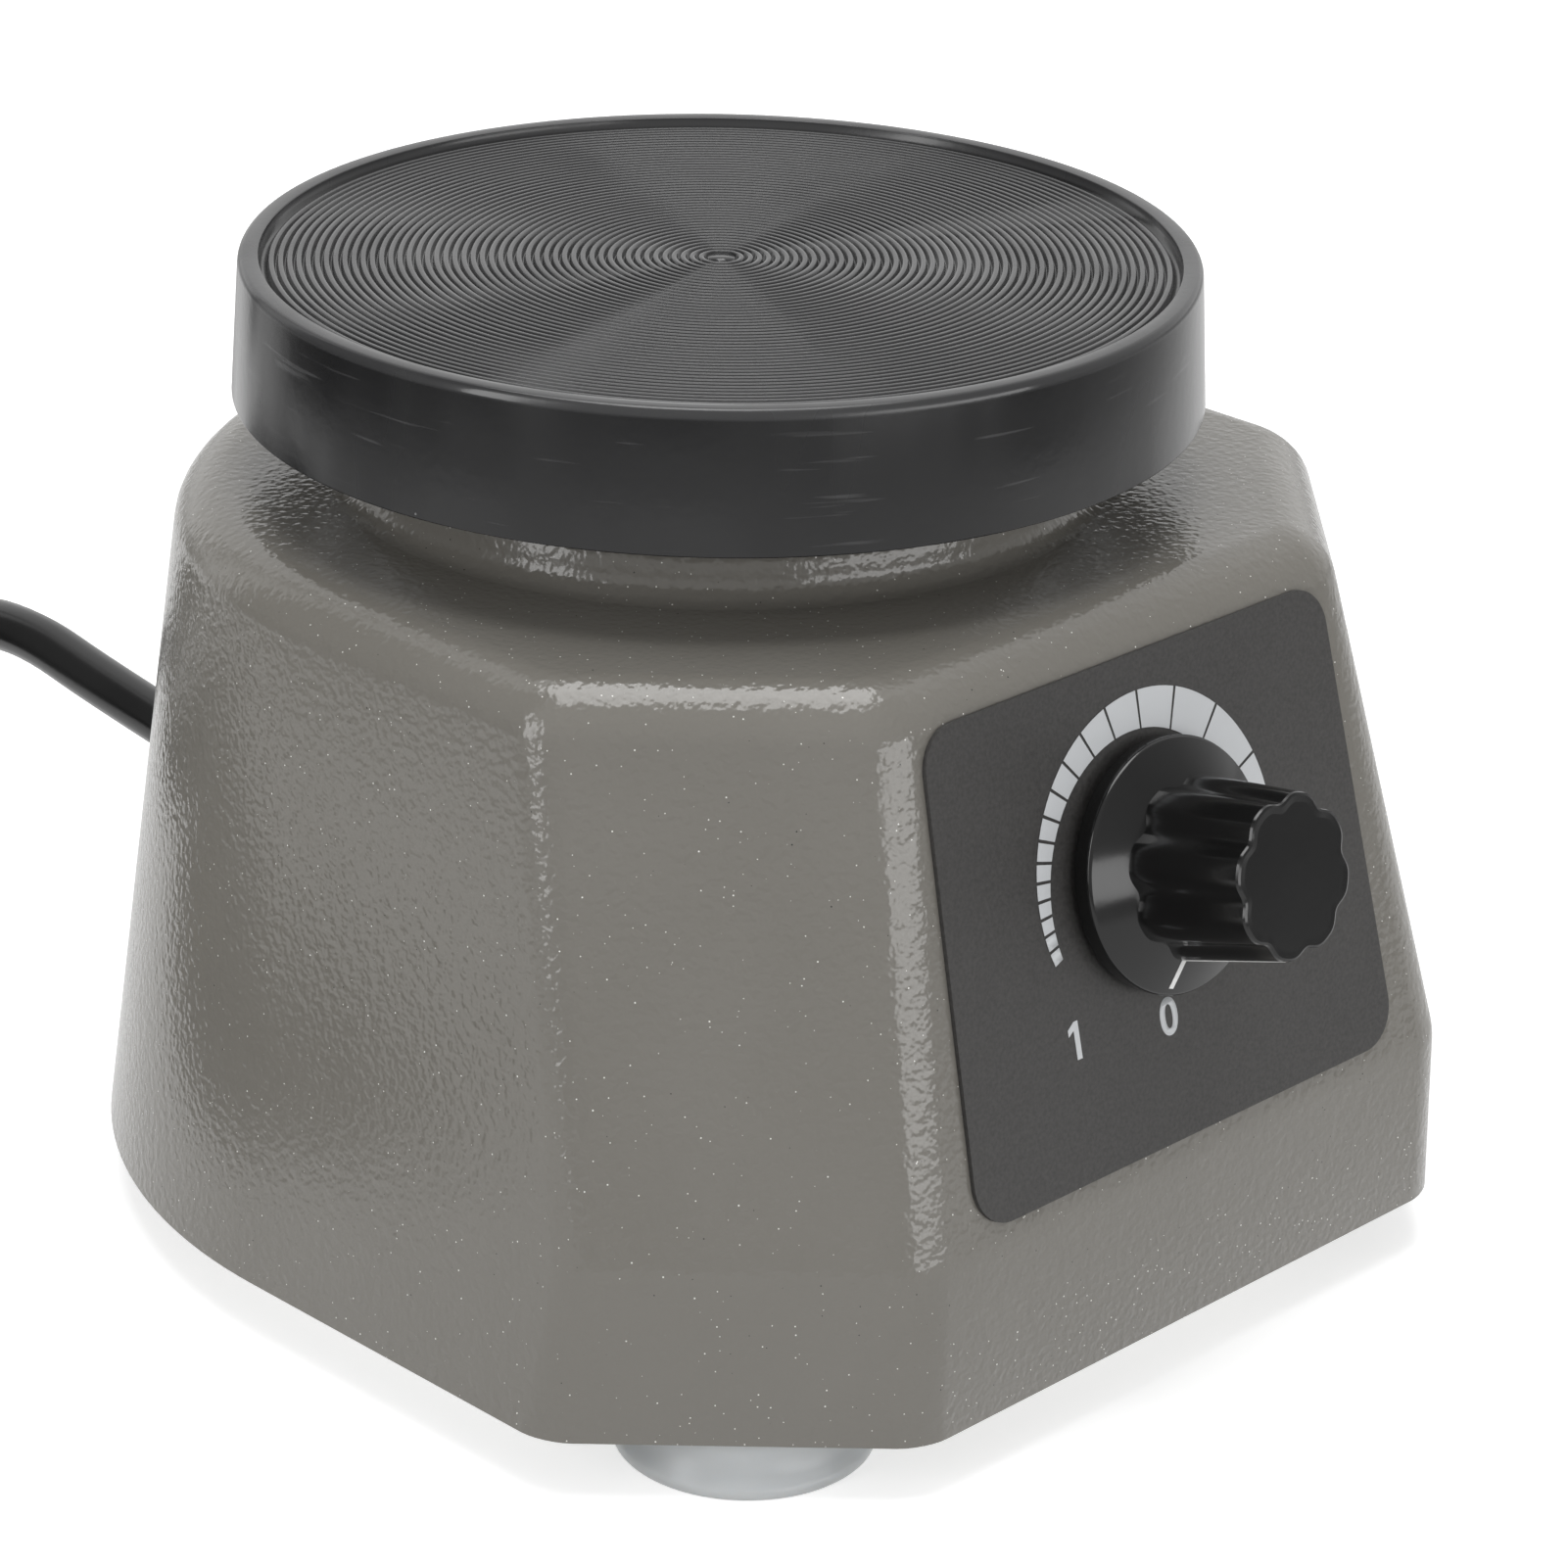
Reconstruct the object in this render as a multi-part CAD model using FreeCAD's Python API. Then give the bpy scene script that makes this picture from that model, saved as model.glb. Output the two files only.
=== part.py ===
"""Round table vibrator for a laboratory bench: a rubber-topped vibrating table on a cast housing.

Shapes are modelled with the table's axis on Z and the housing's lower rim at z = 0, front towards -Y.
save() then lifts them onto their feet and sets the footprint's middle on the origin. Millimetres.
"""
import os
import FreeCAD, Part
from math import cos, pi, radians, sin, tan
from FreeCAD import Placement, Rotation, Vector

# Table
TABLE_R = 49.7
TABLE_FLARE = 0.9
TABLE_BOTTOM = 82.0
TABLE_TOP = 96.7
MAT_TOP_THICK = 3.7
GROOVE_FIELD_R = 47.6
GROOVE_PITCH = 2.0
GROOVE_DEPTH = 0.7
LIP_HEIGHT = 0.8

# Housing: distances of its walls from the table's axis
HOUSING_TOP = 72.9
SKIRT_TOP = 18.3
FRONT = {0.0: 70.1, SKIRT_TOP: 69.7, HOUSING_TOP: 56.0}
CHAMFER = {0.0: 77.1, SKIRT_TOP: 76.7, HOUSING_TOP: 62.4}
SIDE_BOTTOM = 65.4
SIDE_TOP = 56.2
WALL = 4.0
CORNER_ROUND = 7.0
TOP_ROUND = 6.5
BOSS_R = 38.5
BOSS_TOP = 79.5
BOSS_ROUND = 5.0
STEM_BORE_R = 17.0

# Control panel: places are measured up the slope from the top of the skirt
PANEL_RISE = HOUSING_TOP - SKIRT_TOP
PANEL_SETBACK = FRONT[SKIRT_TOP] - FRONT[HOUSING_TOP]
KNOB_UP = 30.6
LABEL_LOW = 2.3
LABEL_HIGH = 52.0
LABEL_HALF_LOW = 31.8
LABEL_HALF_HIGH = 29.5
LABEL_ROUND = 4.5
LABEL_THICK = 0.5

# Knob
KNOB_R = 13.0
KNOB_LENGTH = 18.4
KNOB_LIFT = 1.1
GRIP_R_LOW = 8.8
GRIP_R_END = 8.5
FLUTES = 8
FLUTE_R = 2.4
FLUTE_DEPTH = 0.8
POINTER_ANGLE = radians(-109)
SHAFT_R = 3.0

# Feet and base
FOOT_HEIGHT = 6.0
FOOT_R = 13.2
FOOT_PLACES = {"front_left": (-42.4, -48.6), "front_right": (42.4, -48.6),
               "rear_left": (-36.0, 34.0), "rear_right": (36.0, 34.0)}
FOOT_SEAT = -2.0
BASE_LOW = 2.0
BASE_HIGH = 3.5
SCREW_R = 2.0
THREAD_GAP = 0.05
HOLE_GAP = 0.3

# Drive: an electromagnet pulls an armature that hangs from two leaf springs
CORE_HALF = (30.0, 12.0)
CORE_LOW = 5.5
CORE_HIGH = 41.5
CORE_YOKE = 10.0
LEG = 10.0
AIR_GAP = 1.5
ARMATURE_HIGH = 55.0
SPRING_LOW = 58.0
SPRING_THICK = 1.2
SPRING_HALF = 47.0
SPRING_Y = 14.0
SPRING_WIDTH = 12.0
RAIL_X = 41.0
RAIL_WIDTH = 12.0
RAIL_HALF = 22.0
STEM_R = 9.0
PLATE_LOW = 84.0
PLATE_R = 46.8

# Mains lead
CORD_R = 3.1
EXIT_HEIGHT = 10.6
RELIEF_LENGTH = 28.0
COIL_TURNS = 3
COIL_MEAN_R = 34.5
COIL_STEP = 6.7
COIL_LIFT = 1.0
COIL_TAIL = 20.0

# The knob is the foremost point and the round back the rearmost one
PANEL_TILT = radians(90) - Vector(0, PANEL_SETBACK, PANEL_RISE).getAngle(Vector(0, 1, 0))
KNOB_Y = -FRONT[SKIRT_TOP] + KNOB_UP * sin(PANEL_TILT)
KNOB_Z = SKIRT_TOP + KNOB_UP * cos(PANEL_TILT)
FOREMOST = KNOB_Y - KNOB_LENGTH * cos(PANEL_TILT) - GRIP_R_END * sin(PANEL_TILT)
AXIS_Y = -(FOREMOST + SIDE_BOTTOM) / 2
UP = Vector(0, 0, 1)

os.makedirs("parts", exist_ok=True)


def save(name, shape):
    """Move a piece from the table's axis to the part's own origin and write it."""
    moved = shape.copy()
    moved.translate(Vector(0, AXIS_Y, FOOT_HEIGHT))
    moved.exportStep(f"parts/{name}.step")


def box(x, y, z):
    """Box from three (low, high) pairs."""
    return Part.makeBox(x[1] - x[0], y[1] - y[0], z[1] - z[0], Vector(x[0], y[0], z[0]))


def rod(radius, x, y, z):
    """Upright cylinder between two heights."""
    return Part.makeCylinder(radius, z[1] - z[0], Vector(x, y, z[0]))


def turned(start, *steps):
    """Solid of revolution about Z. A step is a point (r, z), or a pair: a point on an arc and its end."""
    edges = []
    here = Vector(start[0], 0, start[1])
    for step in steps + (start,):
        if isinstance(step[0], tuple):
            middle = Vector(step[0][0], 0, step[0][1])
            end = Vector(step[1][0], 0, step[1][1])
            edges.append(Part.Arc(here, middle, end).toShape())
        else:
            end = Vector(step[0], 0, step[1])
            edges.append(Part.LineSegment(here, end).toShape())
        here = end
    return Part.Face(Part.Wire(edges)).revolve(Vector(), UP, 360)


def round_corner(centre, radius, out_r, out_z):
    """Middle point of a quarter arc in a turned profile."""
    return (centre[0] + out_r * radius * sin(pi / 4), centre[1] + out_z * radius * sin(pi / 4))


def on_panel(shape):
    """Stand a shape modelled about Z on the control panel, at the knob's centre."""
    turned_up = Rotation(Vector(1, 0, 0), 90 - PANEL_TILT * 180 / pi)
    placed = shape.copy()
    placed.Placement = Placement(Vector(0, KNOB_Y, KNOB_Z), turned_up).multiply(placed.Placement)
    return placed


def merge(shapes):
    whole = shapes[0].fuse(shapes[1:])
    return whole.removeSplitter()


def side_at(z):
    return SIDE_BOTTOM + (SIDE_TOP - SIDE_BOTTOM) * z / HOUSING_TOP


def housing_form(inset, top):
    """The housing's outer form, or with an inset the space inside it.

    It has a flat front and two 45 degree chamfers above a short upright skirt, straight sides
    and a half-round back, all drawn in towards the top.
    """
    levels = [0.0, SKIRT_TOP, HOUSING_TOP]
    right = []
    for z in levels:
        side = side_at(z) - inset
        front = FRONT[z] - inset
        chamfer = (CHAMFER[z] - inset) * 2 ** 0.5
        side_corner = Vector(side, side - chamfer, z)
        front_corner = Vector(chamfer - front, -front, z)
        right.append([Vector(side, 0, z), side_corner, front_corner])

    def flip(point):
        return Vector(-point.x, point.y, point.z)

    def face(points):
        return Part.Face(Part.makePolygon(points + points[:1]))

    low, mid, high = right
    faces = [face(low + [flip(p) for p in reversed(low)]), face(high + [flip(p) for p in reversed(high)])]
    faces.append(face([low[0], high[0], flip(high[0]), flip(low[0])]))
    for near, far in ((low, mid), (mid, high)):
        faces.append(face([near[2], far[2], flip(far[2]), flip(near[2])]))
        chamfer = [near[1], near[2], far[2], far[1]]
        faces.append(face(chamfer))
        faces.append(face([flip(p) for p in chamfer]))
    side = [low[0], low[1], mid[1], high[1], high[0]]
    faces.append(face(side))
    faces.append(face([flip(p) for p in side]))
    front_half = Part.makeSolid(Part.makeShell(faces))
    if front_half.Volume < 0:
        front_half.reverse()
    back_half = Part.makeCone(SIDE_BOTTOM - inset, SIDE_TOP - inset, HOUSING_TOP, Vector(), UP, 180)
    form = front_half.fuse(back_half).removeSplitter()
    reach = 2 * CHAMFER[0.0]
    return form.common(box((-reach, reach), (-reach, reach), (0, top)))


def rounded_housing_form():
    form = housing_form(0, HOUSING_TOP)
    upright = []
    for edge in form.Edges:
        ends = sorted(vertex.Z for vertex in edge.Vertexes)
        forward = edge.CenterOfMass.y < -1
        if forward and len(ends) == 2 and ends[1] - ends[0] > 1:
            upright.append(edge)
    form = form.makeFillet(CORNER_ROUND, upright)
    rim = [edge for edge in form.Edges if edge.BoundBox.ZMin > HOUSING_TOP - 0.01]
    return form.makeFillet(TOP_ROUND, rim)


def make_housing():
    outer = rounded_housing_form()
    shell = outer.cut(housing_form(WALL, HOUSING_TOP - WALL))
    root = 2.5
    flat_r = BOSS_R - BOSS_ROUND
    root_middle = round_corner((BOSS_R + root, HOUSING_TOP + root), root, -1, -1)
    top_middle = round_corner((flat_r, BOSS_TOP - BOSS_ROUND), BOSS_ROUND, 1, 1)
    boss = turned((0, HOUSING_TOP - 1), (BOSS_R + root, HOUSING_TOP - 1), (BOSS_R + root, HOUSING_TOP),
                  (root_middle, (BOSS_R, HOUSING_TOP + root)), (BOSS_R, BOSS_TOP - BOSS_ROUND),
                  (top_middle, (flat_r, BOSS_TOP)), (0, BOSS_TOP))
    additions = [boss]
    post_r = 5.5
    for x, y in FOOT_PLACES.values():
        additions.append(rod(post_r, x, y, (BASE_HIGH, HOUSING_TOP - 1)).common(outer))
    rail_low = SPRING_LOW + SPRING_THICK
    for side in (-1, 1):
        ends = sorted((side * (RAIL_X - RAIL_WIDTH / 2), side * (RAIL_X + RAIL_WIDTH / 2)))
        additions.append(box(ends, (-RAIL_HALF, RAIL_HALF), (rail_low, HOUSING_TOP - 1)))
    housing = merge([shell] + additions)
    holes = [rod(STEM_BORE_R, 0, 0, (HOUSING_TOP - 2 * WALL, BOSS_TOP + 1))]
    for x, y in FOOT_PLACES.values():
        holes.append(rod(SCREW_R + THREAD_GAP, x, y, (BASE_HIGH, BASE_HIGH + 15)))
    for x in (-RAIL_X, RAIL_X):
        for y in (-SPRING_Y, SPRING_Y):
            holes.append(rod(SCREW_R + THREAD_GAP, x, y, (rail_low, rail_low + 8)))
    holes.append(on_panel(rod(BUSH_R + HOLE_GAP, 0, 0, (-2 * WALL, 1))))
    holes.append(along_exit(rod(RELIEF_NECK_R + THREAD_GAP, 0, 0, (-2 * WALL, WALL))))
    return housing.cut(holes)


def make_base_plate():
    plate = housing_form(WALL + 0.4, HOUSING_TOP - WALL)
    reach = 2 * CHAMFER[0.0]
    plate = plate.common(box((-reach, reach), (-reach, reach), (BASE_LOW, BASE_HIGH)))
    holes = [rod(SCREW_R + HOLE_GAP, x, y, (0, BASE_HIGH + 1)) for x, y in FOOT_PLACES.values()]
    for x, y in MAGNET_SCREWS + BOARD_SCREWS:
        holes.append(rod(SCREW_R + THREAD_GAP, x, y, (0, BASE_HIGH + 1)))
    return plate.cut(holes)


def make_foot(x, y):
    """Soft foot: it flares to a lip on the bench, has a spigot into the base plate and a screw well."""
    well_r = 5.0
    spigot_r = 8.0
    low = -FOOT_HEIGHT
    edge = 0.5
    lip = 1.0
    top_r = FOOT_R - 1.6
    flat_r = FOOT_R - edge
    hole_r = SCREW_R + HOLE_GAP
    foot = turned((well_r, low), (flat_r, low),
                  (round_corner((flat_r, low + edge), edge, 1, -1), (FOOT_R, low + edge)),
                  (FOOT_R, low + lip), ((top_r + 0.4, FOOT_SEAT - 1), (top_r, 0)), (spigot_r, 0),
                  (spigot_r, BASE_LOW), (hole_r, BASE_LOW), (hole_r, FOOT_SEAT), (well_r, FOOT_SEAT))
    foot.translate(Vector(x, y, 0))
    return foot


def make_screw(x, y, seat, tip, head_r, head_high):
    """Pan-head screw. Its head stands on the side of seat away from tip."""
    way = 1 if tip > seat else -1
    edge = seat - way * head_high
    crown = seat - way * head_high * 0.55
    head = turned((0, seat), (head_r, seat), (head_r, crown), (head_r * 0.7, edge), (0, edge))
    shank = rod(SCREW_R, 0, 0, sorted((seat, tip)))
    drive = min(1.2, head_high / 2)
    for turn in (0, 90):
        slot = box((-head_r * 0.55, head_r * 0.55), (-0.4, 0.4), sorted((edge, edge + way * drive)))
        slot.rotate(Vector(), UP, turn)
        head = head.cut(slot)
    screw = head.fuse(shank).removeSplitter()
    screw.translate(Vector(x, y, 0))
    return screw


def make_label():
    """Printed panel plate, a little wider at its foot, with rounded corners and a hole for the bush."""
    low = LABEL_LOW - KNOB_UP
    high = LABEL_HIGH - KNOB_UP
    corners = [Vector(-LABEL_HALF_LOW, low, 0), Vector(LABEL_HALF_LOW, low, 0),
               Vector(LABEL_HALF_HIGH, high, 0), Vector(-LABEL_HALF_HIGH, high, 0)]
    sheet = Part.Face(Part.makePolygon(corners + corners[:1])).extrude(UP * LABEL_THICK)
    uprights = [edge for edge in sheet.Edges if edge.BoundBox.ZLength > LABEL_THICK / 2]
    sheet = sheet.makeFillet(LABEL_ROUND, uprights)
    return on_panel(sheet.cut(rod(BUSH_R + HOLE_GAP, 0, 0, (-1, 1))))


# Potentiometer with its mains switch, held by a nut on its bush
BUSH_R = 3.5
BUSH_END = 4.6
NUT_LOW = 1.1
NUT_HIGH = 3.3
NUT_R = 5.7
POT_R = 12.0
POT_DEPTH = 9.0
SWITCH_DEPTH = 10.0


def make_potentiometer():
    inner = -WALL
    can = rod(POT_R, 0, 0, (inner - POT_DEPTH, inner))
    switch = rod(POT_R - 1.0, 0, 0, (inner - POT_DEPTH - SWITCH_DEPTH, inner - POT_DEPTH))
    bush = rod(BUSH_R, 0, 0, (inner, BUSH_END))
    tags = [box((x - 1.2, x + 1.2), (-POT_R - 5, -POT_R + 2), (inner - 6, inner - 5.2)) for x in (-5, 0, 5)]
    whole = merge([can, switch, bush] + tags)
    return on_panel(whole.cut(rod(SHAFT_R + THREAD_GAP, 0, 0, (inner - POT_DEPTH, BUSH_END + 1))))


def make_nut():
    corners = [Vector(NUT_R * cos(k * pi / 3), NUT_R * sin(k * pi / 3), NUT_LOW) for k in range(6)]
    nut = Part.Face(Part.makePolygon(corners + corners[:1])).extrude(UP * (NUT_HIGH - NUT_LOW))
    return on_panel(nut.cut(rod(BUSH_R + THREAD_GAP, 0, 0, (0, NUT_HIGH + 1))))


def make_washer():
    washer = rod(NUT_R + 1.0, 0, 0, (LABEL_THICK, NUT_LOW))
    return on_panel(washer.cut(rod(BUSH_R + HOLE_GAP, 0, 0, (0, NUT_LOW + 1))))


def make_shaft():
    return on_panel(rod(SHAFT_R, 0, 0, (-WALL - POT_DEPTH + 1, KNOB_LENGTH - 4)))


def make_knob():
    """Skirted knob: a low cone over a thin rim, and a fluted grip with one of its ridges at the pointer."""
    rim_top = KNOB_LIFT + 2.2
    cone_top = rim_top + 1.1
    end = KNOB_LENGTH
    edge = 0.5
    cavity_r = NUT_R + 1.6
    cavity_top = BUSH_END + 0.4
    body = turned((0, KNOB_LIFT), (KNOB_R - 0.2, KNOB_LIFT), (KNOB_R, rim_top - 0.4),
                  (round_corner((KNOB_R - 0.4, rim_top - 0.4), 0.4, 1, 1), (KNOB_R - 0.4, rim_top)),
                  (GRIP_R_LOW, cone_top), (GRIP_R_END, end - edge),
                  (round_corner((GRIP_R_END - edge, end - edge), edge, 1, 1), (GRIP_R_END - edge, end)),
                  ((GRIP_R_END / 2, end - 0.15), (0, end - 0.2)))
    cuts = [rod(cavity_r, 0, 0, (0, cavity_top)), rod(SHAFT_R + 0.02, 0, 0, (0, end - 4))]
    for k in range(FLUTES):
        angle = POINTER_ANGLE + 2 * pi * (k + 0.5) / FLUTES
        reach = GRIP_R_LOW + FLUTE_R - FLUTE_DEPTH
        cuts.append(rod(FLUTE_R, reach * cos(angle), reach * sin(angle), (cone_top, end + 1)))
    return on_panel(body.cut(cuts))


def make_rubber_mat():
    """Rubber cap stretched over the table plate: ringed top inside a raised lip, bead under the plate."""
    field = TABLE_TOP - LIP_HEIGHT
    lip_flat = GROOVE_FIELD_R + 0.5
    edge = 0.8
    bead_r = PLATE_R - 1.8
    steps = [(bead_r, PLATE_LOW - 0.1), (PLATE_R, PLATE_LOW - 0.1), (PLATE_R, TABLE_TOP - MAT_TOP_THICK),
             (0, TABLE_TOP - MAT_TOP_THICK), (0, field)]
    rings = int(GROOVE_FIELD_R / GROOVE_PITCH)
    for k in range(1, rings + 1):
        r = k * GROOVE_PITCH
        steps += [(r - GROOVE_PITCH * 0.6, field), (r - GROOVE_PITCH * 0.3, field - GROOVE_DEPTH), (r, field)]
    corner = (TABLE_R - edge, TABLE_TOP - edge)
    steps += [(GROOVE_FIELD_R + 0.2, field), (lip_flat, TABLE_TOP), (corner[0], TABLE_TOP),
              (round_corner(corner, edge, 1, 1), (TABLE_R, corner[1])),
              (TABLE_R + TABLE_FLARE, TABLE_BOTTOM)]
    return turned((bead_r, TABLE_BOTTOM), *steps)


def make_table_plate():
    high = TABLE_TOP - MAT_TOP_THICK
    plate = rod(PLATE_R, 0, 0, (PLATE_LOW, high))
    ring = rod(PLATE_R - 6, 0, 0, (PLATE_LOW, PLATE_LOW + 3)).cut(rod(STEM_FLANGE_R + 4, 0, 0, (0, high)))
    sink = Part.makeCone(SCREW_R + HOLE_GAP, 6.2, 3.9, Vector(0, 0, high - 3.9))
    return plate.cut([ring, sink, rod(SCREW_R + HOLE_GAP, 0, 0, (0, high))])


STEM_FLANGE_R = 15.0
STEM_FLANGE_LOW = 80.0
YOKE_HALF = 12.0
YOKE_HIGH = 66.0


def make_stem():
    """Turned post that carries the plate, with a milled yoke clamped on the springs."""
    low = SPRING_LOW + SPRING_THICK
    yoke = box((-YOKE_HALF, YOKE_HALF), (-RAIL_HALF, RAIL_HALF), (low, YOKE_HIGH))
    fillet = 3.0
    neck = (STEM_R + fillet, STEM_FLANGE_LOW - fillet)
    post = turned((0, YOKE_HIGH - 1), (STEM_R, YOKE_HIGH - 1), (STEM_R, STEM_FLANGE_LOW - fillet),
                  (round_corner(neck, fillet, -1, 1), (STEM_R + fillet, STEM_FLANGE_LOW)),
                  (STEM_FLANGE_R, STEM_FLANGE_LOW), (STEM_FLANGE_R, PLATE_LOW), (0, PLATE_LOW))
    stem = merge([yoke, post])
    return stem.cut([rod(SCREW_R + THREAD_GAP, 0, 0, (PLATE_LOW - 12, PLATE_LOW + 1)),
                     rod(SCREW_R + THREAD_GAP, 0, 0, (low - 1, YOKE_HIGH))])


def make_table_screw():
    high = TABLE_TOP - MAT_TOP_THICK - 0.1
    head = Part.makeCone(SCREW_R, 6.0, 3.8, Vector(0, 0, high - 3.8))
    return head.fuse(rod(SCREW_R, 0, 0, (PLATE_LOW - 10, high - 3.8))).removeSplitter()


def make_leaf_spring(y):
    """Flat spring steel, waisted between its clamped middle and ends."""
    z = (SPRING_LOW, SPRING_LOW + SPRING_THICK)
    half = SPRING_WIDTH / 2
    leaf = box((-SPRING_HALF, SPRING_HALF), (y - half, y + half), z)
    free_from = YOKE_HALF + 2
    free_to = RAIL_X - RAIL_WIDTH / 2 - 2
    middle = (free_from + free_to) / 2
    waist_r = (free_to - free_from) * 1.1
    cuts = []
    for side in (-1, 1):
        cuts.append(rod(SCREW_R + HOLE_GAP, side * RAIL_X, y, (z[0] - 1, z[1] + 1)))
        for edge in (-1, 1):
            centre = y + edge * (half + waist_r - 2.0)
            cuts.append(rod(waist_r, side * middle, centre, (z[0] - 1, z[1] + 1)))
    return leaf.cut(cuts)


CLAMP_LOW = 54.5


def make_spring_clamp(side):
    ends = sorted((side * (RAIL_X - RAIL_WIDTH / 2), side * (RAIL_X + RAIL_WIDTH / 2)))
    bar = box(ends, (-RAIL_HALF, RAIL_HALF), (CLAMP_LOW, SPRING_LOW))
    uprights = [edge for edge in bar.Edges if edge.BoundBox.ZLength > 1]
    bar = bar.makeFillet(2.0, uprights)
    return bar.cut([rod(SCREW_R + HOLE_GAP, side * RAIL_X, y, (CLAMP_LOW - 1, SPRING_LOW + 1))
                    for y in (-SPRING_Y, SPRING_Y)])


def make_core():
    """E-shaped stack of laminations."""
    x, y = CORE_HALF
    core = box((-x, x), (-y, y), (CORE_LOW, CORE_HIGH))
    window_z = (CORE_LOW + CORE_YOKE, CORE_HIGH + 1)
    for side in (-1, 1):
        core = core.cut(box(sorted((side * LEG, side * 2 * LEG)), (-y - 1, y + 1), window_z))
    return core


BOBBIN_Z = (15.8, 40.5)
BOBBIN_WALL = 1.2
BOBBIN_HALF = (19.7, 21.5)


def square_ring(half_in, half_out, z, rounding):
    outer = box((-half_out[0], half_out[0]), (-half_out[1], half_out[1]), z)
    outer = outer.makeFillet(rounding, [edge for edge in outer.Edges if edge.BoundBox.ZLength > 0.5])
    return outer.cut(box((-half_in[0], half_in[0]), (-half_in[1], half_in[1]), (z[0] - 1, z[1] + 1)))


def make_bobbin():
    inside = (LEG + 0.2, CORE_HALF[1] + 0.2)
    tube = (inside[0] + BOBBIN_WALL, inside[1] + BOBBIN_WALL)
    low, high = BOBBIN_Z
    return merge([square_ring(inside, tube, BOBBIN_Z, 1.0),
                  square_ring(inside, BOBBIN_HALF, (low, low + BOBBIN_WALL), 3.0),
                  square_ring(inside, BOBBIN_HALF, (high - BOBBIN_WALL, high), 3.0)])


def make_winding():
    tube = (LEG + 0.25 + BOBBIN_WALL, CORE_HALF[1] + 0.25 + BOBBIN_WALL)
    outer = (BOBBIN_HALF[0] - 0.7, BOBBIN_HALF[1] - 0.7)
    return square_ring(tube, outer, (BOBBIN_Z[0] + BOBBIN_WALL, BOBBIN_Z[1] - BOBBIN_WALL), 4.0)


BRACKET_HALF = (48.0, 15.0)
BRACKET_THICK = 2.0
MAGNET_SCREWS = [(x, y) for x in (-42.0, 42.0) for y in (-10.0, 10.0)]


def make_magnet_bracket():
    x_half, y_half = BRACKET_HALF
    plate = box((-x_half, x_half), (-y_half, y_half), (BASE_HIGH, CORE_LOW))
    plate = plate.makeFillet(4.0, [edge for edge in plate.Edges if edge.BoundBox.ZLength > 1])
    tabs = []
    for x in (-25.5, 25.5):
        for side in (-1, 1):
            depth = sorted((side * CORE_HALF[1], side * (CORE_HALF[1] + BRACKET_THICK)))
            tabs.append(box((x - 4.5, x + 4.5), depth, (CORE_LOW - 1, CORE_LOW + 16)))
    whole = merge([plate] + tabs)
    return whole.cut([rod(SCREW_R + HOLE_GAP, x, y, (0, CORE_LOW + 1)) for x, y in MAGNET_SCREWS])


def make_armature():
    x, y = CORE_HALF
    low = CORE_HIGH + AIR_GAP
    bar = box((-x, x), (-y, y), (low, ARMATURE_HIGH))
    head_well = rod(4.5, 0, 0, (low - 1, low + 4))
    return bar.cut([head_well, rod(SCREW_R + HOLE_GAP, 0, 0, (low, ARMATURE_HIGH + 1))])


def make_armature_spacer():
    block = box((-YOKE_HALF, YOKE_HALF), (-RAIL_HALF, RAIL_HALF), (ARMATURE_HIGH, SPRING_LOW))
    return block.cut(rod(SCREW_R + HOLE_GAP, 0, 0, (ARMATURE_HIGH - 1, SPRING_LOW + 1)))


# Control board on four pillars, below the potentiometer
BOARD_X = (-32.0, 32.0)
BOARD_Y = (-60.0, -36.0)
BOARD_LOW = 10.0
BOARD_HIGH = 11.6
BOARD_SCREWS = [(x, y) for x in (-28.0, 28.0) for y in (-56.0, -40.0)]


def make_board():
    board = box(BOARD_X, BOARD_Y, (BOARD_LOW, BOARD_HIGH))
    through = (BOARD_LOW - 1, BOARD_HIGH + 1)
    return board.cut([rod(SCREW_R + HOLE_GAP, x, y, through) for x, y in BOARD_SCREWS])


def make_pillars():
    pillars = []
    for x, y in BOARD_SCREWS:
        pillar = rod(3.5, x, y, (BASE_HIGH, BOARD_LOW))
        pillars.append(pillar.cut(rod(SCREW_R + THREAD_GAP, x, y, (BASE_HIGH - 1, BOARD_LOW + 1))))
    return Part.makeCompound(pillars)


def make_capacitor():
    block = box((-24.0, -6.0), (-53.0, -45.0), (BOARD_HIGH, BOARD_HIGH + 13))
    return block.makeFillet(0.8, block.Edges)


def make_heat_sink():
    """Folded aluminium angle with three fins."""
    foot = box((4.0, 24.0), (-50.0, -42.0), (BOARD_HIGH, BOARD_HIGH + 1.5))
    back = box((4.0, 24.0), (-43.5, -42.0), (BOARD_HIGH, BOARD_HIGH + 15))
    fins = [box((x, x + 1.2), (-43.5, -38.0), (BOARD_HIGH + 2, BOARD_HIGH + 15)) for x in (5.0, 13.4, 21.8)]
    return merge([foot, back] + fins)


def make_triac():
    tab = box((9.0, 19.0), (-44.8, -43.5), (BOARD_HIGH + 2.5, BOARD_HIGH + 14))
    case = box((9.0, 19.0), (-48.0, -44.8), (BOARD_HIGH + 2.5, BOARD_HIGH + 10))
    return merge([tab, case])


def make_terminal_block():
    block = box((-10.0, 10.0), (40.0, 50.0), (BASE_HIGH, BASE_HIGH + 11))
    wells = [rod(1.8, x, 45.0, (BASE_HIGH + 6, BASE_HIGH + 12)) for x in (-6.5, 0.0, 6.5)]
    return block.cut(wells)


def make_dust_seal():
    """Foam ring in the housing's bore, just clear of the stem."""
    z = (HOUSING_TOP - WALL + 1, BOSS_TOP - 3)
    return rod(STEM_BORE_R, 0, 0, z).cut(rod(STEM_R + 0.4, 0, 0, (z[0] - 1, z[1] + 1)))


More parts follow.
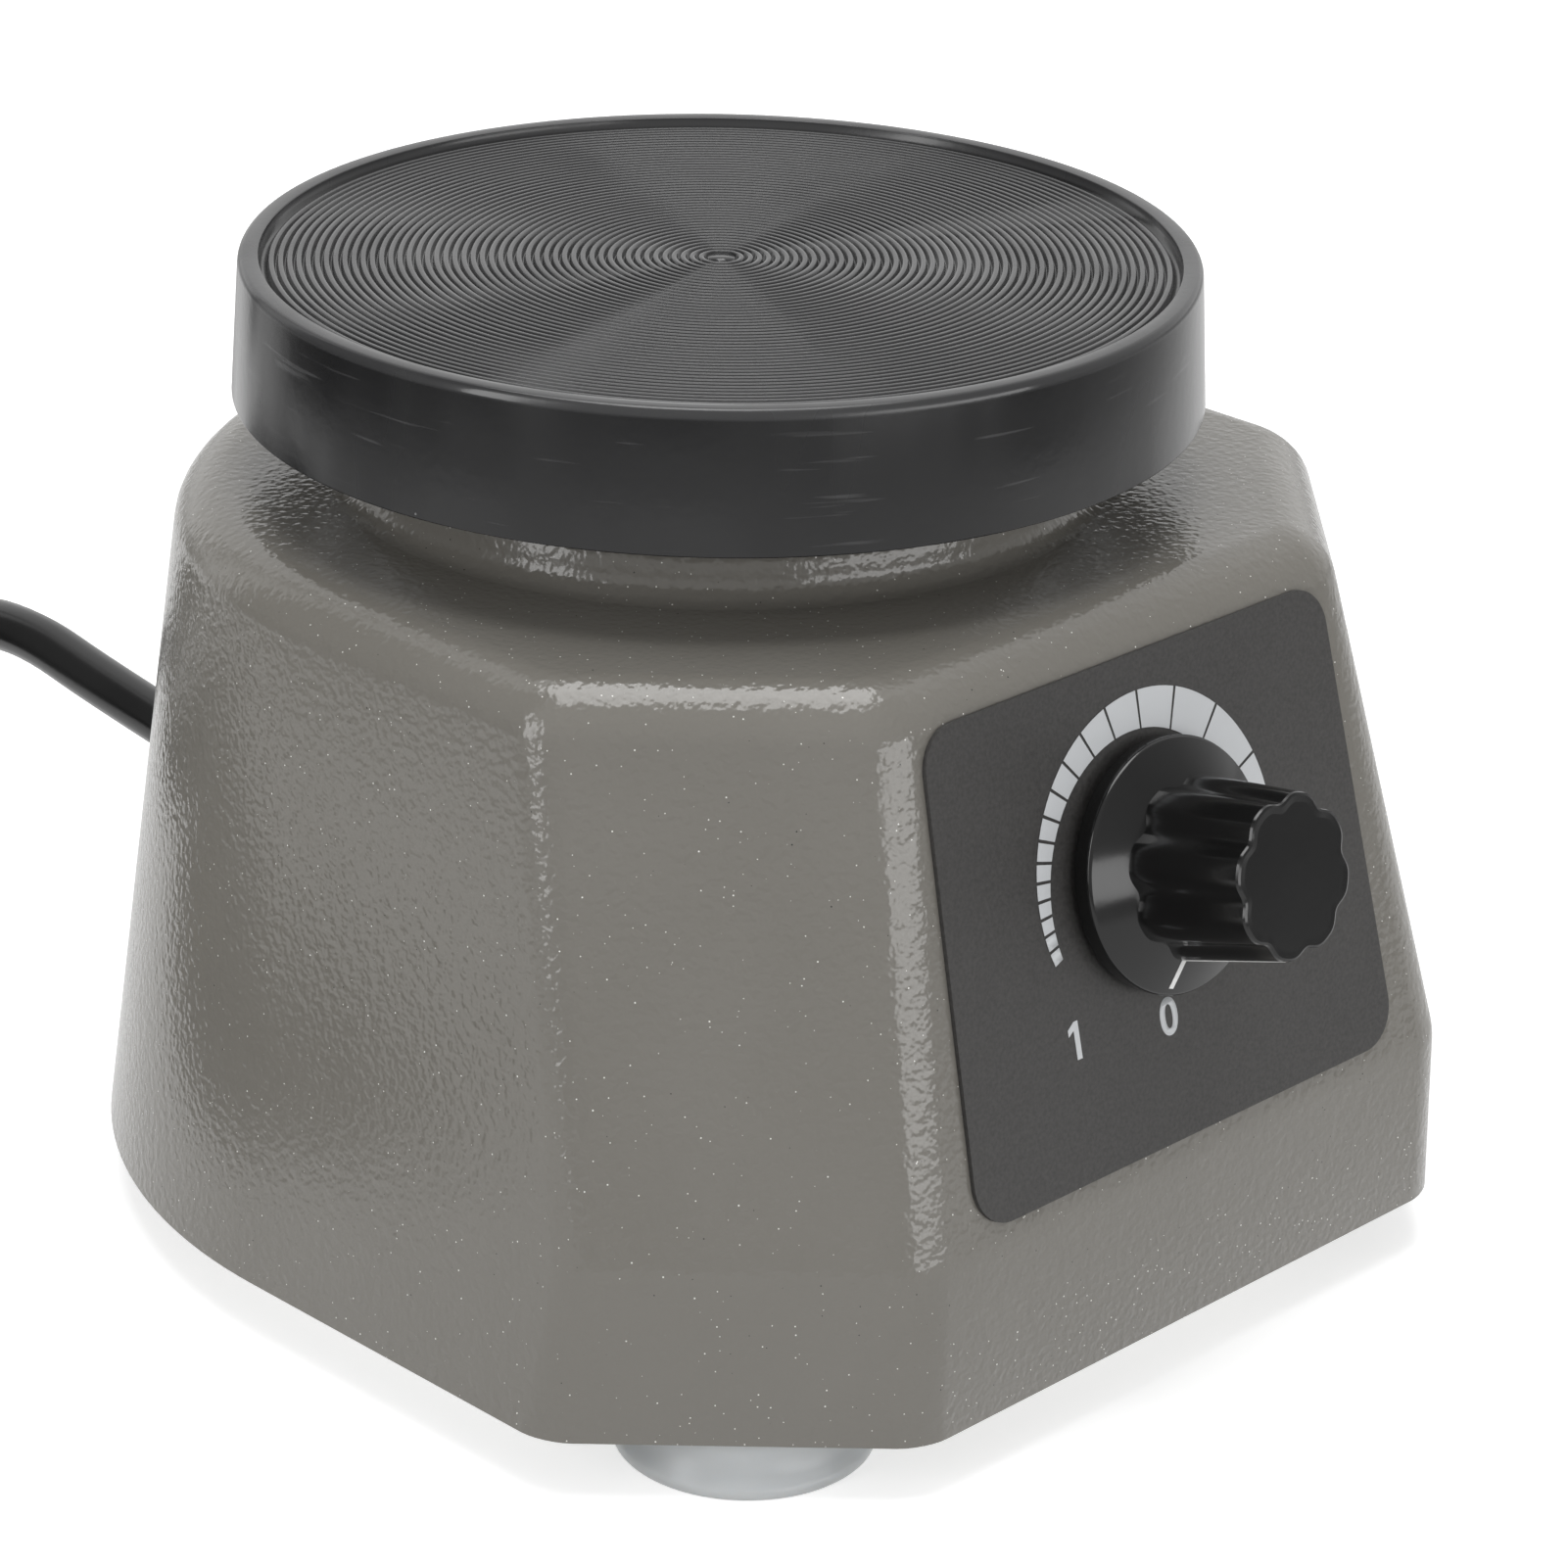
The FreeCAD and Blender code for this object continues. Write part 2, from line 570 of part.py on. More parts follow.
# Mains lead. Its exit is square to the sloped back wall
EXIT_TILT = Vector(0, SIDE_BOTTOM - SIDE_TOP, HOUSING_TOP).getAngle(UP)
EXIT = Vector(0, side_at(EXIT_HEIGHT), EXIT_HEIGHT)
EXIT_WAY = Vector(0, cos(EXIT_TILT), sin(EXIT_TILT))
RELIEF_NECK_R = 4.8
FLOOR = -FOOT_HEIGHT
COIL_Z = FLOOR + COIL_LIFT + CORD_R
LEAD_START = EXIT + EXIT_WAY * RELIEF_LENGTH
LEAD_ROUTE = [LEAD_START, LEAD_START + EXIT_WAY * 15.0, Vector(0, 119.5, 18.3), Vector(0, 132.5, 16.8),
              Vector(0, 146.0, 10.4), Vector(0, 159.0, 2.2), Vector(0, 172.5, COIL_Z),
              Vector(0, 186.5, COIL_Z)]


def along_exit(shape):
    """Lay a shape modelled about Z along the lead's exit, its z = 0 at the wall."""
    placed = shape.copy()
    placed.Placement = Placement(EXIT, Rotation(UP, EXIT_WAY)).multiply(placed.Placement)
    return placed


def make_strain_relief():
    """Moulded bush: a head inside the wall, a neck through it and a ringed tapering sleeve outside."""
    bore = CORD_R
    head_r = RELIEF_NECK_R + 1.2
    flange_r = RELIEF_NECK_R + 2.2
    steps = [(head_r, -WALL - 3.4), (head_r, -WALL - 0.5), (RELIEF_NECK_R, -WALL - 0.5), (RELIEF_NECK_R, 0.3),
             (flange_r, 0.3), (flange_r, 3.0), (5.9, 4.0)]
    rings = 7
    first = 6.0
    pitch = (RELIEF_LENGTH - first - 2) / rings
    for k in range(rings):
        z = first + k * pitch
        radius = 5.8 - 1.4 * k / (rings - 1)
        ring_end = z + pitch * 0.6
        steps += [(radius, z), (radius, ring_end), (radius - 0.9, ring_end), (radius - 0.9, z + pitch)]
    steps += [(4.1, RELIEF_LENGTH - 2), (4.1, RELIEF_LENGTH), (bore, RELIEF_LENGTH)]
    return along_exit(turned((bore, -WALL - 3.4), *steps))


def make_inner_lead():
    """The lead's tail, held in the strain relief and turned towards the terminal block."""
    return along_exit(rod(CORD_R, 0, 0, (-12.0, RELIEF_LENGTH)))


def tube(wire, radius):
    start = wire.Edges[0].firstVertex().Point
    way = wire.Edges[0].tangentAt(wire.Edges[0].FirstParameter)
    ring = Part.Wire(Part.makeCircle(radius, start, way))
    solid = Part.Solid(wire.makePipeShell([ring], True, False))
    expected = pi * radius ** 2 * wire.Length
    print(f"  tube length {wire.Length:.1f}, volume {solid.Volume:.0f}, section times length {expected:.0f}")
    return solid


def smooth_route(points):
    """Straight runs joined by tangent arcs, each as large as its two runs allow."""
    edges = []
    here = points[0]
    for before, corner, after in zip(points, points[1:], points[2:]):
        back = before - corner
        ahead = after - corner
        reach = 0.45 * min(back.Length, ahead.Length)
        half_turn = (pi - back.getAngle(ahead)) / 2
        radius = reach / tan(half_turn)
        print(f"  bend radius {radius:.1f}")
        back.normalize()
        ahead.normalize()
        start = corner + back * reach
        end = corner + ahead * reach
        inward = (back + ahead).normalize()
        centre = corner + inward * (radius / cos(half_turn))
        middle = centre - inward * radius
        edges.append(Part.LineSegment(here, start).toShape())
        edges.append(Part.Arc(start, middle, end).toShape())
        here = end
    edges.append(Part.LineSegment(here, points[-1]).toShape())
    return Part.Wire(edges)


def half_turn_arc(start, way, radius):
    """Level half circle to the left of way. Gives the edge, its end and the way there."""
    left = Vector(-way.y, way.x, 0)
    end = start + left * (2 * radius)
    middle = start + left * radius + way * radius
    return Part.Arc(start, middle, end).toShape(), end, way * -1


def climbing_half_turn(start, way, radius, climb):
    """Half turn to the left that rises by climb, as two tangent arcs."""
    left = Vector(-way.y, way.x, 0)
    end = start + left * (2 * radius) + UP * climb
    reach = (end - start).Length / 2
    near = start + way * reach
    far = end + way * reach
    joint = (near + far) * 0.5
    edges = []
    for first, corner, last in ((start, near, joint), (joint, far, end)):
        back = (first - corner).normalize()
        ahead = (last - corner).normalize()
        half = (pi - back.getAngle(ahead)) / 2
        bend = reach / tan(half)
        inward = (back + ahead).normalize()
        middle = corner + inward * (bend / cos(half) - bend)
        edges.append(Part.Arc(first, middle, last).toShape())
    return edges, end, way * -1


def coil_wire():
    """Two flat layers: the lead spirals in on the lower one, climbs, and spirals out on the upper one."""
    way = Vector(0, 1, 0)
    here = LEAD_ROUTE[-1]
    start = here + way * (2 * CORD_R)
    edges = [Part.LineSegment(here, start).toShape()]
    radius = COIL_MEAN_R + COIL_STEP * COIL_TURNS / 2
    here = start
    for _ in range(2 * COIL_TURNS):
        edge, here, way = half_turn_arc(here, way, radius)
        edges.append(edge)
        radius -= COIL_STEP / 2
    climb, here, way = climbing_half_turn(here, way, radius, COIL_STEP)
    edges += climb
    for _ in range(2 * COIL_TURNS):
        radius += COIL_STEP / 2
        edge, here, way = half_turn_arc(here, way, radius)
        edges.append(edge)
    end = here + way * COIL_TAIL
    edges.append(Part.LineSegment(here, end).toShape())
    return Part.Wire(edges), end


def least_gap(wire):
    """Smallest distance between stretches of the wire that are not neighbours, less the cord's thickness."""
    points = wire.discretize(Distance=2.5)
    skip = int(4 * CORD_R / 2.5) + 2
    nearest = min((a - b).Length for i, a in enumerate(points) for b in points[i + skip:])
    return nearest - 2 * CORD_R


COIL_WIRE, COIL_END = coil_wire()
COIL_CENTRE = Vector(COIL_END.x + COIL_MEAN_R + COIL_STEP * COIL_TURNS / 2, LEAD_ROUTE[-1].y + 2 * CORD_R, 0)
TIE_THICK = 0.8
TIE_WIDTH = 7.0
PLUG_HALF = (12.5, 10.4)
PLUG_LENGTH = 34.0
PLUG_NECK = 16.0


def make_tie():
    """Strap round all the turns, where they are furthest from the object."""
    inner = COIL_MEAN_R - COIL_STEP * COIL_TURNS / 2 - CORD_R - 1.6
    outer = COIL_MEAN_R + COIL_STEP * COIL_TURNS / 2 + CORD_R + 2.6
    low = FLOOR + 0.1
    high = COIL_Z + COIL_STEP + CORD_R + 0.5
    x = (COIL_CENTRE.x - TIE_WIDTH / 2, COIL_CENTRE.x + TIE_WIDTH / 2)
    y = COIL_CENTRE.y
    strap = box(x, (y + inner, y + outer), (low, high + TIE_THICK))
    strap = strap.makeFillet(3.0, [edge for edge in strap.Edges if edge.BoundBox.XLength > 1])
    hole = box((x[0] - 1, x[1] + 1), (y + inner + TIE_THICK, y + outer - TIE_THICK), (low + TIE_THICK, high))
    hole = hole.makeFillet(2.2, [edge for edge in hole.Edges if edge.BoundBox.XLength > 1])
    return strap.cut(hole)


def along_plug(shape):
    """Lay a shape modelled about Z along the lead's end, its z = 0 where the lead stops."""
    placed = shape.copy()
    placed.Placement = Placement(COIL_END, Rotation(Vector(1, 0, 0), 90)).multiply(placed.Placement)
    return placed


def make_plug_body():
    """Moulded mains plug: a ringed sleeve that swells into a rounded block with finger hollows."""
    x, y = PLUG_HALF
    far = PLUG_NECK + PLUG_LENGTH
    block = box((-x, x), (-y, y), (PLUG_NECK, far))
    block = block.makeFillet(5.0, [edge for edge in block.Edges if edge.BoundBox.ZLength > 10])
    back = [edge for edge in block.Edges if edge.BoundBox.ZMax < PLUG_NECK + 0.01]
    block = block.makeFillet(4.0, back)
    sleeve = Part.makeCone(CORD_R + 1.2, CORD_R + 3.0, PLUG_NECK + 4, Vector())
    core = rod(CORD_R + 0.8, 0, 0, (0, far))
    rings = [rod(CORD_R + 5, 0, 0, (z, z + 1.2)).cut(core) for z in (3.0, 6.5, 10.0)]
    hollow_r = 22.0
    hollows = [Part.makeCylinder(hollow_r, 4 * y, Vector(side * (x + hollow_r - 1.6), -2 * y, PLUG_NECK + 13),
                                 Vector(0, 1, 0)) for side in (-1, 1)]
    return along_plug(merge([block, sleeve.cut(rings)]).cut(hollows))


def make_plug_pins():
    """Two flat blades and a round earth pin."""
    face = PLUG_NECK + PLUG_LENGTH
    blades = [box((x - 0.75, x + 0.75), (0.0, 6.3), (face, face + 17)) for x in (-6.35, 6.35)]
    pin_r = 2.4
    pin_y = -7.0
    earth = rod(pin_r, 0, pin_y, (face, face + 18))
    earth = earth.fuse(Part.makeSphere(pin_r, Vector(0, pin_y, face + 18))).removeSplitter()
    return along_plug(Part.makeCompound(blades + [earth]))


save("housing", make_housing())
save("base_plate", make_base_plate())
for name, place in FOOT_PLACES.items():
    save(f"foot_{name}", make_foot(*place))
foot_screws = [make_screw(x, y, FOOT_SEAT, BASE_HIGH + 12, 4.2, 2.4) for x, y in FOOT_PLACES.values()]
save("foot_screws", Part.makeCompound(foot_screws))
save("panel_label", make_label())
save("potentiometer", make_potentiometer())
save("potentiometer_washer", make_washer())
save("potentiometer_nut", make_nut())
save("potentiometer_shaft", make_shaft())
save("knob", make_knob())

save("rubber_mat", make_rubber_mat())
save("table_plate", make_table_plate())
save("table_stem", make_stem())
save("table_screw", make_table_screw())
save("dust_seal", make_dust_seal())

save("leaf_spring_front", make_leaf_spring(-SPRING_Y))
save("leaf_spring_rear", make_leaf_spring(SPRING_Y))
save("spring_clamp_left", make_spring_clamp(-1))
save("spring_clamp_right", make_spring_clamp(1))
spring_screws = [make_screw(x, y, CLAMP_LOW, SPRING_LOW + SPRING_THICK + 7, 3.6, 2.4)
                 for x in (-RAIL_X, RAIL_X) for y in (-SPRING_Y, SPRING_Y)]
save("spring_screws", Part.makeCompound(spring_screws))
save("armature", make_armature())
save("armature_spacer", make_armature_spacer())
save("armature_bolt", make_screw(0, 0, CORE_HIGH + AIR_GAP + 4, YOKE_HIGH - 1, 4.0, 3.2))
save("magnet_core", make_core())
save("coil_bobbin", make_bobbin())
save("coil_winding", make_winding())
save("magnet_bracket", make_magnet_bracket())
magnet_screws = [make_screw(x, y, CORE_LOW, BASE_LOW - 1, 3.6, 2.4) for x, y in MAGNET_SCREWS]
save("magnet_screws", Part.makeCompound(magnet_screws))

save("control_board", make_board())
save("board_pillars", make_pillars())
board_screws = [make_screw(x, y, BOARD_HIGH, BASE_HIGH + 0.5, 3.4, 2.0) for x, y in BOARD_SCREWS]
save("board_screws", Part.makeCompound(board_screws))
save("capacitor", make_capacitor())
save("heat_sink", make_heat_sink())
save("triac", make_triac())
save("terminal_block", make_terminal_block())

save("strain_relief", make_strain_relief())
print("mains lead, free stretch")
save("mains_lead", tube(smooth_route(LEAD_ROUTE), CORD_R))
save("mains_lead_tail", make_inner_lead())
print("mains lead, coil")
save("mains_lead_coil", tube(COIL_WIRE, CORD_R))
print(f"  least gap between turns {least_gap(COIL_WIRE):.2f}")
save("coil_tie", make_tie())
save("plug_body", make_plug_body())
save("plug_pins", make_plug_pins())
print(f"table axis at y = {AXIS_Y:.2f}, knob at y = {KNOB_Y + AXIS_Y:.2f}, z = {KNOB_Z + FOOT_HEIGHT:.2f}")
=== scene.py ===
from math import atan2, cos, degrees, pi, radians, sin, sqrt, tan

import bmesh
import bpy
from mathutils import Matrix, Vector


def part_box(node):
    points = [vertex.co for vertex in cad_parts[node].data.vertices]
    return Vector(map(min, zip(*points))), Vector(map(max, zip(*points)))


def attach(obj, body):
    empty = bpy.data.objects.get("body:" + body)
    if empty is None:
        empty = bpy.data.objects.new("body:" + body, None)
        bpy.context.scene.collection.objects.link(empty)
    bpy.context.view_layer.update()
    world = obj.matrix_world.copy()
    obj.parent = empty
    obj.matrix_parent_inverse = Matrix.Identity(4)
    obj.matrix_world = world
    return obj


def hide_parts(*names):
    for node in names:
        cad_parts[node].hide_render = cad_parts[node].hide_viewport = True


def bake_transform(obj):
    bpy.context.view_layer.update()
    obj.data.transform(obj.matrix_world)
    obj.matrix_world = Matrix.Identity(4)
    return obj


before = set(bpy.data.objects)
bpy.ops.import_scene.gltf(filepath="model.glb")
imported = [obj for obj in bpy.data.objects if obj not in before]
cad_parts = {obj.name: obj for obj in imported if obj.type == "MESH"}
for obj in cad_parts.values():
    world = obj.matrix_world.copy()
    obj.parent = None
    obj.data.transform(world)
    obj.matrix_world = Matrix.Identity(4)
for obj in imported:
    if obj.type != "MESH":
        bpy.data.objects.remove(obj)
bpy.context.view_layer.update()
MM = 0.001


# The photograph's view: a long lens, a little off level, looking down on the front left corner.
# It is set from where the table's rims, the housing's corners and the knob lie in the frame.
YAW = radians(44.3219)
PITCH = radians(-23.5510)
ROLL = radians(1.2799)
CAMERA_PLACE = (-0.36855, -0.36227, 0.27047)
FOCAL_LENGTH = 121.591
SENSOR_WIDTH = 36.0
lens = bpy.data.cameras.new("camera")
lens.lens = FOCAL_LENGTH
lens.sensor_width = SENSOR_WIDTH
lens.clip_start = 10 * MM
camera = bpy.data.objects.new("camera", lens)
looking = Vector((cos(PITCH) * cos(YAW), cos(PITCH) * sin(YAW), sin(PITCH)))
standing = Matrix.Translation(CAMERA_PLACE)
aimed = looking.to_track_quat("-Z", "Y").to_matrix().to_4x4()
camera.matrix_world = standing @ aimed @ Matrix.Rotation(ROLL, 4, "Z")
bpy.context.scene.collection.objects.link(camera)
bpy.context.scene.camera = camera
bpy.context.scene.view_settings.view_transform = "Standard"


# A white bench in a plain studio: one broad soft box overhead, a tall one on the left and one in front.
# Gloss mirrors a room that is white behind the object and dimmer round the camera. Near the object it
# mirrors the bench as a white sheet, with a patch of shade behind the object on the left.
AMBIENT = 0.52
ROOM_BY_CAMERA = 0.7
ROOM_LEVELS = ((-140, 0.6), (-105, 0.45), (-75, 0.5), (-40, 1.0), (43, 1.0), (45, 0.15), (48, 0.15),
               (50, 0.95), (62, 0.95), (66, 0.15), (105, 0.15), (120, 0.6))
BENCH_HALF = 6.0
BENCH_WHITE = 0.82
BENCH_GLOW = 0.55
SHEET_EDGE = (0.30, 0.40)
SHADE_PLACE = (-0.112, 0.155)
SHADE_HALF = (0.048, 0.115)
SHADE_EDGE = (0.9, 1.1)
SHADE_LEVEL = 0.02
FADE_EDGE = (0.45, 0.70)
FAR_LEVEL = 0.6


def grey(level):
    return (level, level, level, 1.0)


def make_room_group():
    """Brightness of the studio in each level direction, in degrees to the left of straight behind."""
    group = bpy.data.node_groups.new("room_level", "ShaderNodeTree")
    group.interface.new_socket("Direction", in_out="INPUT", socket_type="NodeSocketVector")
    group.interface.new_socket("Level", in_out="OUTPUT", socket_type="NodeSocketFloat")
    given = group.nodes.new("NodeGroupInput")
    result = group.nodes.new("NodeGroupOutput")
    turned = group.nodes.new("ShaderNodeMapping")
    turned.inputs["Rotation"].default_value = (0.0, 0.0, -YAW)
    around = group.nodes.new("ShaderNodeTexGradient")
    around.gradient_type = "RADIAL"
    levels = group.nodes.new("ShaderNodeValToRGB")
    stops = levels.color_ramp.elements
    stops[0].color = stops[1].color = grey(ROOM_BY_CAMERA)
    for bearing, value in ROOM_LEVELS:
        stops.new(0.5 + bearing / 360).color = grey(value)
    group.links.new(given.outputs["Direction"], turned.inputs["Vector"])
    group.links.new(turned.outputs["Vector"], around.inputs["Vector"])
    group.links.new(around.outputs["Fac"], levels.inputs["Fac"])
    group.links.new(levels.outputs["Color"], result.inputs["Level"])
    return group


def add_group(tree, group, **values):
    """Place a node group in a material or the world, with a value for each input that is named."""
    node = tree.nodes.new("ShaderNodeGroup")
    node.node_tree = group
    for label, value in values.items():
        node.inputs[label.replace("_", " ").title()].default_value = value
    return node


def calculate(tree, operation, value, other):
    """One step of arithmetic on a value and another value, or a number."""
    step = tree.nodes.new("ShaderNodeMath")
    step.operation = operation
    tree.links.new(value, step.inputs[0])
    if isinstance(other, float):
        step.inputs[1].default_value = other
    else:
        tree.links.new(other, step.inputs[1])
    return step.outputs[0]


def remap(tree, value, start, end, low=0.0, high=1.0, curve="LINEAR"):
    """Carry a value that goes from start to end over to one that goes from low to high."""
    step = tree.nodes.new("ShaderNodeMapRange")
    step.interpolation_type = curve
    for label, number in (("From Min", start), ("From Max", end), ("To Min", low), ("To Max", high)):
        step.inputs[label].default_value = number
    tree.links.new(value, step.inputs["Value"])
    return step.outputs["Result"]


def vector_length(tree, vector):
    measure = tree.nodes.new("ShaderNodeVectorMath")
    measure.operation = "LENGTH"
    tree.links.new(vector, measure.inputs[0])
    return measure.outputs["Value"]


def softbox(name, place, aim, width, height, power):
    light = bpy.data.lights.new(name, "AREA")
    light.shape = "RECTANGLE"
    light.size = width
    light.size_y = height
    light.energy = power
    box = bpy.data.objects.new(name, light)
    facing = (Vector(aim) - Vector(place)).to_track_quat("-Z", "Y")
    box.matrix_world = Matrix.Translation(place) @ facing.to_matrix().to_4x4()
    bpy.context.scene.collection.objects.link(box)


ROOM = make_room_group()
studio = bpy.data.worlds.new("studio")
studio.use_nodes = True
bpy.context.scene.world = studio
sky = studio.node_tree
backdrop = sky.nodes["Background"]
backdrop.inputs["Color"].default_value = grey(1.0)
sky_ray = sky.nodes.new("ShaderNodeLightPath")
sky_way = sky.nodes.new("ShaderNodeTexCoord")
sky_room = add_group(sky, ROOM)
mirrored = sky.nodes.new("ShaderNodeMix")
mirrored.inputs["A"].default_value = AMBIENT
level = sky.nodes.new("ShaderNodeMix")
level.inputs["B"].default_value = 1.0
seen = calculate(sky, "MAXIMUM", sky_ray.outputs["Is Camera Ray"], sky_ray.outputs["Is Transmission Ray"])
sky.links.new(sky_way.outputs["Generated"], sky_room.inputs["Direction"])
sky.links.new(sky_ray.outputs["Is Glossy Ray"], mirrored.inputs["Factor"])
sky.links.new(sky_room.outputs["Level"], mirrored.inputs["B"])
sky.links.new(seen, level.inputs["Factor"])
sky.links.new(mirrored.outputs["Result"], level.inputs["A"])
sky.links.new(level.outputs["Result"], backdrop.inputs["Strength"])

softbox("light_overhead", place=(0.05, 0.10, 1.30), aim=(0.0, 0.0, 0.05), width=0.8, height=0.8, power=9.0)
softbox("light_left", place=(-1.25, 0.15, 0.45), aim=(0.0, 0.0, 0.06), width=0.35, height=0.9, power=4.0)
softbox("light_front", place=(0.14, -1.29, 0.17), aim=(0.0, 0.0, 0.06), width=1.1, height=0.42, power=4.8)

bench_bm = bmesh.new()
bmesh.ops.create_grid(bench_bm, x_segments=1, y_segments=1, size=BENCH_HALF)
bench_mesh = bpy.data.meshes.new("bench")
bench_bm.to_mesh(bench_mesh)
bench_bm.free()
bench = bpy.data.objects.new("bench", bench_mesh)
bpy.context.scene.collection.objects.link(bench)
white = bpy.data.materials.new("bench_white")
white.use_nodes = True
bench_tree = white.node_tree
bench_tree.nodes.remove(bench_tree.nodes["Principled BSDF"])
matt = bench_tree.nodes.new("ShaderNodeBsdfDiffuse")
matt.inputs["Color"].default_value = grey(BENCH_WHITE)
glow = bench_tree.nodes.new("ShaderNodeEmission")
mirror = bench_tree.nodes.new("ShaderNodeEmission")
bench_ray = bench_tree.nodes.new("ShaderNodeLightPath")
spot = bench_tree.nodes.new("ShaderNodeTexCoord")
bench_room = add_group(bench_tree, ROOM)
lit = bench_tree.nodes.new("ShaderNodeAddShader")
bench_look = bench_tree.nodes.new("ShaderNodeMixShader")
sheet = bench_tree.nodes.new("ShaderNodeMix")
shade = bench_tree.nodes.new("ShaderNodeMapping")
shade.inputs["Scale"].default_value = (1 / SHADE_HALF[0], 1 / SHADE_HALF[1], 0.0)
shade.inputs["Location"].default_value = (-SHADE_PLACE[0] / SHADE_HALF[0],
                                          -SHADE_PLACE[1] / SHADE_HALF[1], 0.0)
bench_tree.links.new(spot.outputs["Object"], shade.inputs["Vector"])
bench_tree.links.new(spot.outputs["Object"], bench_room.inputs["Direction"])
away = vector_length(bench_tree, spot.outputs["Object"])
off_shade = vector_length(bench_tree, shade.outputs["Vector"])
past_sheet = remap(bench_tree, away, *SHEET_EDGE, curve="SMOOTHSTEP")
shaded = remap(bench_tree, off_shade, *SHADE_EDGE, low=SHADE_LEVEL, curve="SMOOTHSTEP")
fading = remap(bench_tree, away, *FADE_EDGE, low=1.0, high=FAR_LEVEL, curve="SMOOTHSTEP")
bench_tree.links.new(past_sheet, sheet.inputs["Factor"])
bench_tree.links.new(shaded, sheet.inputs["A"])
bench_tree.links.new(bench_room.outputs["Level"], sheet.inputs["B"])
faded = calculate(bench_tree, "MULTIPLY", sheet.outputs["Result"], fading)
bench_tree.links.new(faded, mirror.inputs["Strength"])
shown = calculate(bench_tree, "MULTIPLY", bench_ray.outputs["Is Camera Ray"], BENCH_GLOW)
bench_tree.links.new(shown, glow.inputs["Strength"])
bench_tree.links.new(matt.outputs[0], lit.inputs[0])
bench_tree.links.new(glow.outputs[0], lit.inputs[1])
bench_tree.links.new(bench_ray.outputs["Is Glossy Ray"], bench_look.inputs["Fac"])
bench_tree.links.new(lit.outputs[0], bench_look.inputs[1])
bench_tree.links.new(mirror.outputs[0], bench_look.inputs[2])
bench_tree.links.new(bench_look.outputs[0], bench_tree.nodes["Material Output"].inputs["Surface"])
bench_mesh.materials.append(white)


# Housing: one zinc die casting with a chamfered front over a short skirt, straight drafted sides and a
# half-round back, spray painted in a warm grey that dries with an orange-peel surface.
AXIS = Vector((0.0, 8.384, 6.0)) * MM
HOUSING_TOP = 72.9 * MM
SKIRT_TOP = 18.3 * MM
SIDE_BOTTOM = 65.4 * MM
SIDE_TOP = 56.2 * MM
FRONT_FOOT, FRONT_SKIRT, FRONT_TOP = 70.1 * MM, 69.7 * MM, 56.0 * MM
CHAMFER_FOOT, CHAMFER_SKIRT, CHAMFER_TOP = 77.1 * MM, 76.7 * MM, 62.4 * MM
FRONT_REACH = 120.0 * MM
WALL = 4.0 * MM
CORNER_ROUND = 7.0 * MM
CORNER_ANGLE = radians(20)
CORNER_CLIMB = 10.0 * MM
CREASE_ROUND = 1.0 * MM
CREASE_ANGLE = radians(5)
TOP_ROUND = 6.5 * MM
TOP_HALF_ANGLE = radians(38)
BOSS_R = 38.5 * MM
BOSS_TOP = 79.5 * MM
BOSS_ROOT = 2.5 * MM
BOSS_ROUND = 4.2 * MM
STEM_BORE_R = 17.0 * MM
BORE_ROUND = 0.8 * MM
BORE_END = HOUSING_TOP - 2.0 * MM
MERGE = 1e-7
SEAM = 1e-6
CLOUD_SCALE = 40.0
CLOUD_DETAIL = 4.0
NOISE_SPAN = (0.3, 0.7)


def cut_wall(bm, azimuth, low, high):
    """Cut away what lies outside a flat wall. Low and high are its (distance from the axis, height)."""
    outward = Vector((sin(azimuth), -cos(azimuth), 0.0))
    normal = outward * (high[1] - low[1]) + Vector((0.0, 0.0, low[0] - high[0]))
    whole = bm.verts[:] + bm.edges[:] + bm.faces[:]
    point = outward * low[0] + Vector((0.0, 0.0, low[1]))
    cut = bmesh.ops.bisect_plane(bm, geom=whole, dist=MERGE, plane_co=point, plane_no=normal,
                                 clear_outer=True)
    rim = [item for item in cut["geom_cut"] if isinstance(item, bmesh.types.BMEdge)]
    return bmesh.ops.edgeloop_fill(bm, edges=rim)["faces"]


def round_edges(bm, edges, offset, segments):
    bmesh.ops.bevel(bm, geom=edges, offset=offset, offset_type="OFFSET", affect="EDGES", segments=segments,
                    profile=0.5, material=-1, clamp_overlap=False)


def turn_profile(bm, points, steps):
    """Spin a profile about Z. A point is (radius, height), and a third value rounds its corner."""
    verts = [bm.verts.new((point[0], 0.0, point[1])) for point in points]
    for near, far in zip(verts, verts[1:]):
        bm.edges.new((near, far))
    wire = set(verts)
    for vert, point in zip(verts, points):
        if len(point) == 3:
            made = bmesh.ops.bevel(bm, geom=[vert], offset=point[2], offset_type="OFFSET", affect="VERTICES",
                                   segments=6, profile=0.5, material=-1, clamp_overlap=False)
            wire.update(made["verts"])
    wire = {vert for vert in wire if vert.is_valid}
    lines = {edge for vert in wire for edge in vert.link_edges}
    bmesh.ops.spin(bm, geom=list(wire) + list(lines), cent=(0, 0, 0), axis=(0, 0, 1), angle=2 * pi,
                   steps=steps, use_merge=True)
    bmesh.ops.remove_doubles(bm, verts=bm.verts, dist=MERGE)


